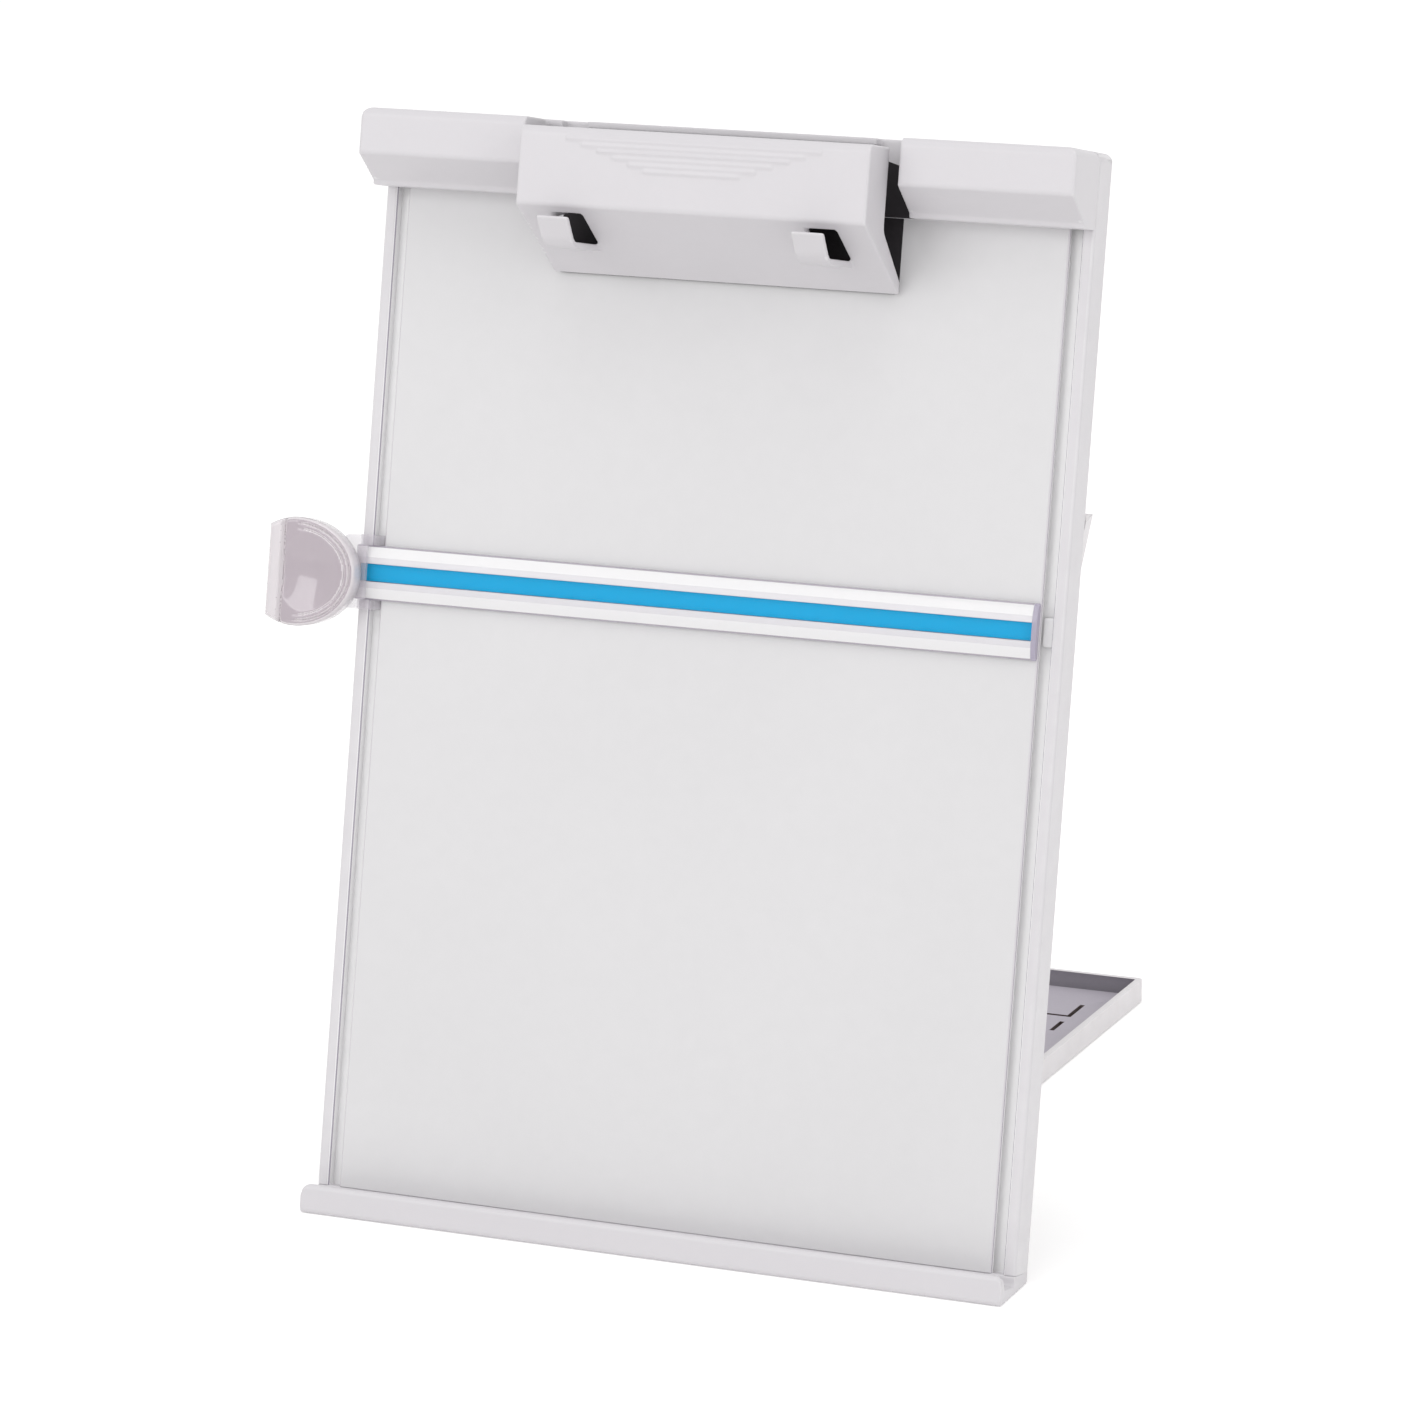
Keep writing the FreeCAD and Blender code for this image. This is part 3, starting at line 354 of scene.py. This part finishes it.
# A CAD form with its own edges
def plain(node, body, slot, materials, choose=None, leaning=True, bend=None):
    mesh = mergedMesh(node)
    if bend:
        writePoints(mesh, bend(readPoints(mesh) * 1000) / 1000)
    paint(mesh, materials, choose, leaning)
    return settle(showPiece(node + "_piece", mesh, shading["plainAngle"], True), body, slot, node)


# Board: CAD form with its own rounded rails; channels painted brighter to undo their shade, painted shade
# under the clip and beside the sheet
# outline of the painted shade on the sheet under the clip, in mm
clipShade = dict(half=54.2, low=284.2)


# 0 plastic, 1 sheet face, 2 channel painted brighter to undo its shade, 3 painted shade under the clip, 4
# painted shade on the channel walls beside the sheet
def boardFaces(centres, normals):
    x, depth, up = centres.T
    across = np.abs(x)
    front = (normals[:, 1] < -board["faceTurn"]) & (np.abs(depth) < board["faceSpan"])
    front &= across < board["panelHalf"]
    # painted shade on the sheet under the clip
    shade = front & (across < clipShade["half"]) & (up > clipShade["low"])
    # channel faces, painted brighter to undo their shade
    inChannel = (across > board["panelHalf"] - board["near"]) & (across < board["channelHalf"])
    inChannel &= (depth > board["near"]) & (depth < board["channelDepth"])
    # painted shade on the channel walls nearest the sheet
    edgeShade = inChannel & (np.abs(normals[:, 0]) > board["sideTurn"]) & (depth < board["edgeShadeDepth"])
    return np.select([shade, edgeShade, inChannel, front], [3, 4, 2, 1], 0)


def cutBoard(mesh):  # edges along the outline of the painted shade under the clip and of the painted shade on the channel walls beside the sheet
    lean = math.radians(board["lean"])
    upWay = Vector((0.0, math.sin(lean), math.cos(lean)))
    backWay = Vector((0.0, math.cos(lean), -math.sin(lean)))
    form = bmesh.new()
    form.from_mesh(mesh)

    def onSheet(face):
        depth = unlean([face.calc_center_median()])[0][1]
        return -face.normal.dot(backWay) > board["faceTurn"] and abs(depth) < board["faceSpan"]

    # faces that take the painted shade on the channel walls
    def onEdgeShade(face):
        across = abs(face.calc_center_median().x) * 1000
        inChannel = board["panelHalf"] - board["near"] < across < board["channelHalf"]
        return inChannel and abs(face.normal.x) > board["sideTurn"]

    cuts = [(onSheet, (-clipShade["half"], 0, 0), Vector((1, 0, 0))),
            (onSheet, (clipShade["half"], 0, 0), Vector((1, 0, 0))),
            (onSheet, (0, 0, clipShade["low"]), upWay),
            (onEdgeShade, (0, board["edgeShadeDepth"], 0), backWay)]
    for chosen, place, way in cuts:
        faces = [face for face in form.faces if chosen(face)]
        parts = set(faces)
        for face in faces:
            parts.update(face.edges)
            parts.update(face.verts)
        bmesh.ops.bisect_plane(form, geom=list(parts), plane_co=Vector(stand([place])[0]), plane_no=way)
    form.to_mesh(mesh)
    form.free()


boardMesh = mergedMesh("board_frame")
cutBoard(boardMesh)
paint(boardMesh, lookList("plastic", "sheetFace", "channel", "shadeUnderClip", "edgeShade"), boardFaces)
settle(showPiece("board_frame_piece", boardMesh, shading["plainAngle"], True),
       "board", "off_white_plastic", "board_frame")

header = dict(voxel=0.45, rounds=3, keep=0.35, bridgeHalf=58.9, bridgeFront=-3.0, bridgeTop=321.0, turn=0.5)


def headerFaces(centres, normals):  # the bridge behind the clip is painted near black as shade
    x, depth, up = centres.T
    bridge = (np.abs(x) < header["bridgeHalf"]) & (depth > header["bridgeFront"])
    return bridge & (up < header["bridgeTop"]) & (normals[:, 1] < -header["turn"])


moulded("header_cover", "board", "off_white_plastic", lookList("plastic", "shadeUnderClip"), header, headerFaces)
ledge = dict(voxel=0.5, rounds=3, keep=0.35)
moulded("ledge_rail", "board", "off_white_plastic", lookList("plastic"), ledge)

clip = dict(voxel=0.40, rounds=4, keep=0.35, lip=282.0, crease=301.0, creaseDepth=34.0)
hooks = dict(inner=34.5, outer=45.5, tip=297.8, foot=288.8, back=7.2, clear=3.0, above=1.0)


# The hooks' fronts lean: points in front of the clip's lower face go back, most of all at the hook's foot
def leanHooks(points):
    x, depth, up = points.T
    face = (up - clip["lip"]) / (clip["crease"] - clip["lip"]) * clip["creaseDepth"]
    across = (np.abs(x) > hooks["inner"]) & (np.abs(x) < hooks["outer"])
    onHook = across & (-depth > face + hooks["clear"]) & (up < hooks["tip"] + hooks["above"])
    share = np.clip((hooks["tip"] - up) / (hooks["tip"] - hooks["foot"]), 0, 1)
    return np.stack([x, depth + onHook * share * hooks["back"], up], axis=1)


moulded("clip_lever", "clip", "off_white_plastic", lookList("plastic"), clip, bend=leanHooks)

tray = dict(middle=200.0, floorTop=3.2, wallFoot=2.2, wallTop=7.0, slitHalf=60.0, slitFrom=200.0,
            slitTo=290.0, wallTurn=0.5, floorTurn=0.6)


# 0 plastic, 1 floor with painted shade, 2 sides of the slits with painted shade, 3 walls that face the tray's
# middle with painted shade
def trayFaces(centres, normals):
    x, y, z = centres.T
    side = np.abs(normals[:, 2]) < tray["wallTurn"]
    # walls facing the tray's middle, painted dark as shade
    inward = side & (x * normals[:, 0] + (y - tray["middle"]) * normals[:, 1] < 0)
    inward &= (z > tray["wallFoot"]) & (z < tray["wallTop"])
    # slit sides, painted dark as shade
    slit = side & (z < tray["wallFoot"]) & (np.abs(x) < tray["slitHalf"])
    slit &= (y > tray["slitFrom"]) & (y < tray["slitTo"])
    # the tray's floor, painted darker as shade
    floorFace = (normals[:, 2] > tray["floorTurn"]) & (z < tray["floorTop"])
    return np.select([inward, slit, floorFace], [3, 2, 1], 0)


plain("base_tray", "tray", "off_white_plastic", lookList("tray", "trayFloorShade", "traySlitShade", "trayWallShade"),
      trayFaces, leaning=False)
shoulder = dict(grow=1.7, inner=96.0, length=40.0, steep=1.4, limit=112.9)


# The leg's shoulders stand out beside the board, by a share that falls off in a line below the top
def spreadShoulders(points):
    x, y, z = points.T
    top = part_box("rear_leg")[1].z * 1000
    share = np.clip((z - top + shoulder["length"]) / shoulder["length"], 0, 1)
    share = np.minimum(share * shoulder["steep"], 1) * (np.abs(x) > shoulder["inner"])
    wide = np.clip(x + np.sign(x) * shoulder["grow"] * share, -shoulder["limit"], shoulder["limit"])
    return np.stack([wide, y, z], axis=1)


plain("rear_leg", "leg", "off_white_plastic", lookList("tray"), leaning=False, bend=spreadShoulders)
carriage = dict(voxel=0.22, rounds=2, keep=0.4)
moulded("guide_carriage", "guide", "clear_plastic", lookList("clear"), carriage)
lipPad = dict(voxel=0.22, rounds=1, keep=0.3)
moulded("clip_lip_pad", "clip", "grey_rubber", lookList("rubber"), lipPad)
footPads = dict(voxel=0.25, rounds=2, keep=0.3)
moulded("tray_foot_pads", "tray", "grey_rubber", lookList("rubber"), footPads, leaning=False)
plain("back_panel", "board", "off_white_plastic", lookList("plastic"))
for node, body in (("clip_spring_left", "clip"), ("clip_spring_right", "clip"),
                   ("guide_leaf_spring", "guide")):
    plain(node, body, "spring_steel", lookList("spring"))
print("moulded pieces made")


def tubeFaces(rings, around):  # quads between rings of equal count, both ends closed
    grid = np.arange(rings * around).reshape(rings, around)
    turned = np.roll(grid, -1, axis=1)
    quads = np.stack([grid[:-1], turned[:-1], turned[1:], grid[1:]], axis=-1).reshape(-1, 4)
    return quads.tolist() + [grid[0].tolist(), grid[-1].tolist()]


# Closed outline through (a, b, radius) corners, each turned by an arc that is tangent to both sides
def roundedSection(corners, steps=6):
    out = []
    count = len(corners)
    for i, (a, b, radius) in enumerate(corners):
        here = np.array([a, b], float)
        if radius <= 0:
            out.append(here[None])
            continue
        before = np.array(corners[i - 1][:2], float) - here
        after = np.array(corners[(i + 1) % count][:2], float) - here
        before /= np.linalg.norm(before)
        after /= np.linalg.norm(after)
        half = math.acos(np.clip(before @ after, -1, 1)) / 2
        start = here + before * radius / math.tan(half)
        end = here + after * radius / math.tan(half)
        middle = here + (before + after) / np.linalg.norm(before + after) * radius / math.sin(half)
        first = math.atan2(*(start - middle)[::-1])
        last = math.atan2(*(end - middle)[::-1])
        turn = (last - first + math.pi) % (2 * math.pi) - math.pi
        t = np.linspace(first, first + turn, steps + 1)
        out.append(middle + radius * np.column_stack([np.cos(t), np.sin(t)]))
    return np.concatenate(out)


# (depth, up) section carried along X; at each end it closes in on its middle by an eased quarter turn
def sweepAcross(section, x0, x1, ease, shrink, steps=5):
    t = np.linspace(math.pi / 2, 0, steps)
    inset = ease * (1 - np.sin(t))
    size = 1 - shrink * (1 - np.cos(t))
    along = np.concatenate([x0 + inset, x1 - inset[::-1]])
    size = np.concatenate([size, size[::-1]])
    middle = section.mean(axis=0)
    rings = middle + (section - middle) * size[:, None, None]
    across = np.broadcast_to(along[:, None, None], (*rings.shape[:2], 1))
    return np.concatenate([across, rings], axis=2).reshape(-1, 3), tubeFaces(len(along), len(section))


def joinForms(forms):  # several (points, faces) as one
    points, faces, count = [], [], 0
    for some, these in forms:
        points.append(some)
        faces += [[i + count for i in face] for face in these]
        count += len(some)
    return np.concatenate(points), faces


def newPiece(node, form, materials, angle, body, slot, choose=None, place=stand):
    points, faces = form
    mesh = newMesh(node + "_piece", place(points), faces)
    paint(mesh, materials, choose)
    return settle(showPiece(node + "_piece", mesh, angle), body, slot, node)


# Clear bar: flat middle over the stripe, a slope above and below it painted white as a highlight, rims
# painted dark as shade, in mm of the board frame
bar = dict(left=-113.4, right=103.9, back=-0.4, front=-2.8, half=8.3, windowHalf=2.75, flatHalf=4.7,
           crown=0.12, slope=0.75, slopeEnd=7.75, slopeRound=0.4, rimStep=0.35, rimEdge=0.25, backEdge=0.25,
           grooveDepth=0.56, grooveHalf=2.72, grooveEdge=0.08, rows=6, ease=0.3, shrink=0.04, near=0.1)


# (depth, up, radius) corners: a parabola over the front's flat middle, then a straight slope to each rim
def barSection(grow=0.0, groove=True):
    z = np.linspace(-1, 1, bar["rows"]) * bar["windowHalf"]
    z = np.concatenate([[-bar["flatHalf"]], z, [bar["flatHalf"]]])
    y = bar["front"] + bar["crown"] * (z / bar["flatHalf"]) ** 2 - grow
    corners = [(a, b, 0) for a, b in zip(y, z)]
    rim = bar["half"] + grow
    low = bar["front"] + bar["crown"] + bar["slope"] - grow
    around = [(low, bar["slopeEnd"], bar["slopeRound"]), (low + bar["rimStep"], rim, bar["rimEdge"]),
              (bar["back"], rim, bar["backEdge"])]
    if groove:
        around += [(bar["back"], bar["grooveHalf"], bar["grooveEdge"]),
                   (bar["back"] - bar["grooveDepth"], bar["grooveHalf"], bar["grooveEdge"])]
    corners += around + [(a, -b, r) for a, b, r in around[::-1]]
    return [(a, board["guide"] + b, r) for a, b, r in corners]


# 0 window over the stripe, 1 slope painted as a highlight, 2 rim painted as shade, 3 the rest of the flat,
# frosted and painted light over the shade under the bar
def barFaces(centres, normals):
    off = np.abs(centres[:, 2] - board["guide"])
    onSlope = (off > bar["flatHalf"]) & (centres[:, 1] < bar["back"] - bar["near"])
    onRim = off > bar["slopeEnd"] + bar["near"]
    return np.select([onRim, onSlope, off > bar["windowHalf"]], [2, 1, 3], 0)


form = sweepAcross(roundedSection(barSection()), bar["left"], bar["right"], bar["ease"], bar["shrink"])
newPiece("guide_bar", form, lookList("barWindow", "barSlopeHighlight", "barRimShade", "barFace"), shading["sweptAngle"],
         "guide", "clear_plastic", barFaces)


def boxSection(front, back, half, edge):  # rectangle about the guide's line, its corners rounded
    corners = ((back, -half), (back, half), (front, half), (front, -half))
    return roundedSection([(a, board["guide"] + b, edge) for a, b in corners])


stripe = dict(half=2.62, depth=0.46, sunk=0.05, edge=0.08, leftInset=1.0, rightInset=0.1,
              ease=0.15, shrink=0.02)
behind = bar["back"] - stripe["sunk"]
form = sweepAcross(boxSection(behind - stripe["depth"], behind, stripe["half"], stripe["edge"]),
                   bar["left"] + stripe["leftInset"], bar["right"] - stripe["rightInset"],
                   stripe["ease"], stripe["shrink"])
newPiece("guide_stripe", form, lookList("blue"), shading["sweptAngle"], "guide", "blue_tint")

# End foot: a cap on the bar's end, and its tongue that runs in the channel
endFoot = dict(gap=0.02, capEnd=105.5, grow=0.05, capEase=0.35, capShrink=0.04, tongueLeft=105.9,
               tongueRight=108.7, tongueHalf=4.4, front=2.5, back=3.4, edge=0.6, ease=0.4, shrink=0.05)
cap = sweepAcross(roundedSection(barSection(endFoot["grow"], False)), bar["right"] + endFoot["gap"],
                  endFoot["capEnd"], endFoot["capEase"], endFoot["capShrink"])
tongue = sweepAcross(boxSection(endFoot["front"], endFoot["back"], endFoot["tongueHalf"], endFoot["edge"]),
                     endFoot["tongueLeft"], endFoot["tongueRight"], endFoot["ease"], endFoot["shrink"])


def endFootFaces(centres, normals):  # the tongue is painted bright against its shade, as the channel is
    return centres[:, 0] > (endFoot["capEnd"] + endFoot["tongueLeft"]) / 2


newPiece("guide_end_foot", joinForms([cap, tongue]), lookList("endFoot", "channel"), shading["sweptAngle"],
         "guide", "clear_plastic", endFootFaces)
print("bar, stripe and end foot made")

# Grip: a D with a raised band along its flat side, a groove inside the round rim and a dished middle
grip = dict(flat=-139.6, end=-110.4, widest=-130.2, centre=186.3, half=16.5, side=13.9, back=-4.45,
            thick=5.8, ease=1.5, easeBack=0.5, band=4.6, bandRise=0.7, bandEdge=0.12, bandEase=1.2,
            lineOff=0.6, line=0.40, lineDepth=0.8, fade=4.0, rim=1.7, rimLine=0.32, rimDepth=0.8,
            inner=3.4, innerDepth=0.45, dishX=-125.6, dish=10.6, dishDepth=2.1, dishTall=0.86,
            dishPower=1.2, rimTurn=0.86, paintBand=0.3, across=130, up=136, gather=0.55, rowEnd=0.998,
            outline=500)


def gripSides(z):  # straight side that flares by a parabola, round end by an ellipse
    flare = np.clip((grip["half"] - np.abs(z)) / (grip["half"] - grip["side"]), 0, 1)
    left = grip["widest"] - (grip["widest"] - grip["flat"]) * np.sqrt(flare)
    bow = np.sqrt(np.clip(1 - (z / grip["half"]) ** 2, 0, 1))
    return left, grip["widest"] + (grip["end"] - grip["widest"]) * bow


def gripOutline():  # points along both sides, for the way to the edge
    z = np.sin(np.linspace(-math.pi / 2, math.pi / 2, grip["outline"])) * grip["half"]
    left, right = gripSides(z)
    return np.concatenate([np.column_stack([left, z]), np.column_stack([right, z])])


# Thickness with a circular eased edge over reach, the way to the outline; the band is a soft step, each
# line a bell-shaped groove at its own distance, and the dish a rounded bowl
def gripHeight(x, z, reach):
    inside = np.clip(grip["ease"] - reach, 0, grip["ease"])
    height = grip["thick"] - grip["ease"] + np.sqrt(np.maximum(grip["ease"] ** 2 - inside ** 2, 0))
    fromFlat = x - grip["flat"]
    onBand = 1 / (1 + np.exp((fromFlat - grip["band"]) / grip["bandEdge"]))
    height += grip["bandRise"] * onBand * np.clip(reach / grip["bandEase"], 0, 1)
    height -= grip["lineDepth"] * np.exp(-((fromFlat - grip["band"] - grip["lineOff"]) / grip["line"]) ** 2)
    body = np.clip((x - grip["widest"]) / grip["fade"], 0, 1)
    height -= body * grip["rimDepth"] * np.exp(-((reach - grip["rim"]) / grip["rimLine"]) ** 2)
    height -= body * grip["innerDepth"] * np.exp(-((reach - grip["inner"]) / grip["rimLine"]) ** 2)
    away = np.hypot(x - grip["dishX"], z * grip["dishTall"]) / grip["dish"]
    height -= grip["dishDepth"] * np.clip(1 - away ** 2, 0, 1) ** grip["dishPower"]
    return height


def gripFaces(centres, normals):  # the band and the eased edge look lighter
    edge = np.abs(normals[:, 1]) < grip["rimTurn"]
    return edge | (centres[:, 0] < grip["flat"] + grip["band"] - grip["paintBand"])


# Grid of rows that gather at both ends and columns that gather at both sides; front and back sheets share
# it, and a strip of quads closes them along the border
def gripForm():
    z = np.sin(np.linspace(-1, 1, grip["up"]) * math.pi / 2 * grip["rowEnd"]) * grip["half"]
    left, right = gripSides(z)
    t = (1 - np.cos(np.linspace(0, math.pi, grip["across"]))) / 2
    t = grip["gather"] * t + (1 - grip["gather"]) * np.linspace(0, 1, grip["across"])
    x = (left[:, None] + (right - left)[:, None] * t).ravel()
    z = np.repeat(z, grip["across"])
    reach = np.full(len(x), np.inf)
    for some in np.array_split(gripOutline(), 20):  # in shares, to spare memory
        reach = np.minimum(reach, np.hypot(x[:, None] - some[:, 0], z[:, None] - some[:, 1]).min(axis=1))
    front = grip["back"] - gripHeight(x, z, reach)
    back = grip["back"] - np.clip(grip["easeBack"] - reach, 0, grip["easeBack"]) ** 2 / grip["easeBack"]
    up = grip["centre"] + z
    points = np.concatenate([np.column_stack([x, front, up]), np.column_stack([x, back, up])])
    grid = np.arange(len(x)).reshape(grip["up"], grip["across"])
    quads = np.stack([grid[:-1, :-1], grid[:-1, 1:], grid[1:, 1:], grid[1:, :-1]], axis=-1).reshape(-1, 4)
    border = np.concatenate([grid[0], grid[1:, -1], grid[-1, -2::-1], grid[-2:0:-1, 0]])
    following = np.roll(border, -1)
    strip = np.stack([border, len(x) + border, len(x) + following, following], axis=-1)
    return points, np.concatenate([quads, len(x) + quads[:, ::-1], strip]).tolist()


newPiece("guide_grip", gripForm(), lookList("grip", "gripRim"), shading["gripAngle"],
         "guide", "clear_plastic", gripFaces)
print("grip made")


# Each (along, radius) of the profile gives a circle of that radius about the line; both ends are closed
def lathe(origin, way, profile, around=48):
    way = np.array(way, float)
    side = np.cross(way, [0.3, 0.8, 0.52])  # square to the line, and otherwise any side
    side /= np.linalg.norm(side)
    other = np.cross(way, side)
    angle = np.linspace(0, 2 * math.pi, around, endpoint=False)
    ring = np.cos(angle)[:, None] * side + np.sin(angle)[:, None] * other
    along, radius = np.array(profile, float).T[:, :, None, None]
    points = np.array(origin) + way * along + ring * radius
    return points.reshape(-1, 3), tubeFaces(len(profile), around)


# Rods lie along X, with chamfered ends
rods = dict(
    clip_pivot_pin=dict(body="clip", place=stand, depth=-11.0, up=304.0, radius=1.5, half=50.8),
    tray_hinge_rod=dict(body="tray", place=flat, depth=18.4, up=11.5, radius=2.0, half=52.0),
    leg_pivot_rod=dict(body="tray", place=flat, depth=88.0, up=11.5, radius=2.0, half=52.0))
rodEnd = dict(chamfer=0.35, step=0.1, drop=0.15)
for node, rod in rods.items():
    end = np.array([(rod["half"] - rodEnd["chamfer"], rod["radius"]),
                    (rod["half"] - rodEnd["step"], rod["radius"] - rodEnd["drop"]),
                    (rod["half"], rod["radius"] - rodEnd["chamfer"])])
    form = lathe((0, rod["depth"], rod["up"]), (1, 0, 0), np.concatenate([end[::-1] * (-1, 1), end]))
    newPiece(node, form, lookList("steel"), shading["turnedAngle"], rod["body"], "zinc_steel",
             place=rod["place"])

# Screws: shank with shallow thread rings, a flat or rounded head as (along, radius) rings, a cross recess
screw = dict(shank=1.3, head=2.6, headHigh=1.6, pitch=0.8, perTurn=4, thread=0.14, start=0.4, point=0.55,
             around=64, rings=14, slotHalf=0.15, slotReach=0.62, slotDepth=0.75,
             flatHead=[(0.0, 1.3), (1.45, 2.5), (1.6, 2.58)],
             panHead=[(0.0, 1.3), (0.02, 2.5), (0.15, 2.6), (1.1, 2.55), (1.4, 2.3), (1.6, 1.9)])


# Radius along a screw: pointed tip, thread rings as a saw of the pitch, then the head's rings
def screwProfile(length, head):
    along = np.arange(screw["start"], length, screw["pitch"] / screw["perTurn"])
    saw = np.abs((along / screw["pitch"]) % 1 - 0.5) * 2
    shank = np.column_stack([along, screw["shank"] - screw["thread"] * saw])
    tip = [(0.0, screw["shank"] * screw["point"])]
    return np.concatenate([tip, shank, np.array(head) + (length, 0.0)])


# A turned profile whose top is a disc of shrinking rings; points in a cross about its middle are pressed in
def crossHead(origin, way, profile):
    points = lathe(origin, way, profile, screw["around"])[0]
    middle = np.array(origin) + np.array(way) * profile[-1][0]
    spokes = points[-screw["around"]:] - middle
    first = spokes[0] / np.linalg.norm(spokes[0])
    shares = 1 - np.arange(1, screw["rings"] + 1) / (screw["rings"] + 1)
    disc = spokes * shares[:, None, None]
    a, b = np.abs(disc @ first), np.abs(disc @ np.cross(way, first))
    slot = np.minimum(a, b) < screw["slotHalf"] * screw["head"]
    slot &= np.maximum(a, b) < screw["slotReach"] * screw["head"]
    disc = middle + disc - np.array(way) * screw["slotDepth"] * slot[..., None]
    faces = tubeFaces(len(profile) + screw["rings"], screw["around"])
    return np.concatenate([points, disc.reshape(-1, 3)]), faces


backScrews = dict(across=88.0, places=((9.3, 4.5), (318.0, -10.0)), headFace=9.9)  # (up, tip's depth)
forms = [crossHead((x, tip, up), (0, 1, 0), screwProfile(backScrews["headFace"] - tip, screw["flatHead"]))
         for x in (-backScrews["across"], backScrews["across"]) for up, tip in backScrews["places"]]
newPiece("back_screws", joinForms(forms), lookList("steel"), shading["turnedAngle"], "board", "zinc_steel")
ledgeScrews = dict(across=64.0, depth=6.5, tip=6.0)
low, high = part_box("ledge_screws")
seat = unlean([[0, (low.y + high.y) / 2, low.z]])[0][2] + screw["headHigh"]
seat += screw["head"] * math.sin(math.radians(board["lean"]))  # so that the leaning heads clear the floor
forms = [crossHead((x, ledgeScrews["depth"], ledgeScrews["tip"]), (0, 0, -1),
                   screwProfile(ledgeScrews["tip"] - seat, screw["panHead"]))
         for x in (-ledgeScrews["across"], ledgeScrews["across"])]
newPiece("ledge_screws", joinForms(forms), lookList("steel"), shading["turnedAngle"], "board", "zinc_steel")
print("rods and screws made")


def direction(azimuth, elevation):  # away from the object, azimuth from the front towards its right
    a, e = math.radians(azimuth), math.radians(elevation)
    return Vector((math.sin(a) * math.cos(e), -math.cos(a) * math.cos(e), math.sin(e)))


# Camera and light
camera = dict(azimuth=22.5, elevation=13.3, distance=1.751, target=(0.0, 0.040, 0.165),
              lens=149.03, sensor=36.0, shiftY=-0.0202, reach=60.0)
away = direction(camera["azimuth"], camera["elevation"])
eye = bpy.data.objects.new("camera", bpy.data.cameras.new("camera"))
eye.location = Vector(camera["target"]) + away * camera["distance"]
eye.rotation_euler = (-away).to_track_quat("-Z", "Y").to_euler()
eye.data.lens = camera["lens"]
eye.data.sensor_width = camera["sensor"]
eye.data.shift_y = camera["shiftY"]
eye.data.clip_end = camera["reach"]
scene.collection.objects.link(eye)
scene.camera = eye

light = dict(diffuseWorld=0.80, floorGlow=0.30, target=(0.0, 0.05, 0.16))
lamps = dict(
    keyLamp=dict(azimuth=-26.0, elevation=24.0, distance=2.4, size=(1.3, 0.9), power=9.0),
    rightLamp=dict(azimuth=66.0, elevation=22.0, distance=2.4, size=(1.2, 1.2), power=6.5),
    topLamp=dict(azimuth=10.0, elevation=74.0, distance=2.3, size=(1.6, 1.6), power=8.0))
for name, lamp in lamps.items():
    way = direction(lamp["azimuth"], lamp["elevation"])
    data = bpy.data.lights.new(name, "AREA")
    data.shape = "RECTANGLE"
    data.size, data.size_y = lamp["size"]
    data.energy = lamp["power"]
    item = bpy.data.objects.new(name, data)
    item.location = Vector(light["target"]) + way * lamp["distance"]
    item.rotation_euler = (-way).to_track_quat("-Z", "Y").to_euler()
    scene.collection.objects.link(item)


def seenRays(tree):  # 1 for rays from the camera, off gloss or through clear plastic, else 0
    path = addNode(tree, "LightPath").outputs
    seen = addNode(tree, "Math", {"operation": "MAXIMUM"},
                   {0: path["Is Camera Ray"], 1: path["Is Glossy Ray"]})
    return addNode(tree, "Math", {"operation": "MAXIMUM"},
                   {0: seen.outputs[0], 1: path["Is Transmission Ray"]}).outputs[0]


world = bpy.data.worlds.new("studio")
world.use_nodes = True
scene.world = world
tree = world.node_tree
sky = tree.nodes["Background"]
strength = addNode(tree, "MapRange", {"To Min": light["diffuseWorld"], "To Max": 1.0},
                   {"Value": seenRays(tree)})
sky.inputs["Color"].default_value = (1.0, 1.0, 1.0, 1.0)
tree.links.new(strength.outputs[0], sky.inputs["Strength"])

floor = dict(radius=8.0, sides=96, colour=(0.92, 0.915, 0.91, 1.0), roughness=0.9, specular=0.1)
turn = np.linspace(0, 2 * math.pi, floor["sides"], endpoint=False)
rim = np.stack([np.cos(turn), np.sin(turn), 0 * turn], axis=1) * floor["radius"]
floorMaterial = bpy.data.materials.new("paleFloor")
floorMaterial.use_nodes = True
tree = floorMaterial.node_tree
surface = tree.nodes["Principled BSDF"]
surface.inputs["Base Color"].default_value = floor["colour"]
surface.inputs["Roughness"].default_value = floor["roughness"]
surface.inputs["Specular IOR Level"].default_value = floor["specular"]
surface.inputs["Emission Color"].default_value = (1.0, 1.0, 1.0, 1.0)
glow = addNode(tree, "Math", {"operation": "MULTIPLY", 1: light["floorGlow"]}, {0: seenRays(tree)})
tree.links.new(glow.outputs[0], surface.inputs["Emission Strength"])
ground = newMesh("floor", rim, [list(range(floor["sides"]))])
paint(ground, [floorMaterial])
showPiece("floor", ground, shading["turnedAngle"])
scene.view_settings.view_transform = "Standard"
print("camera, lamps and floor made")
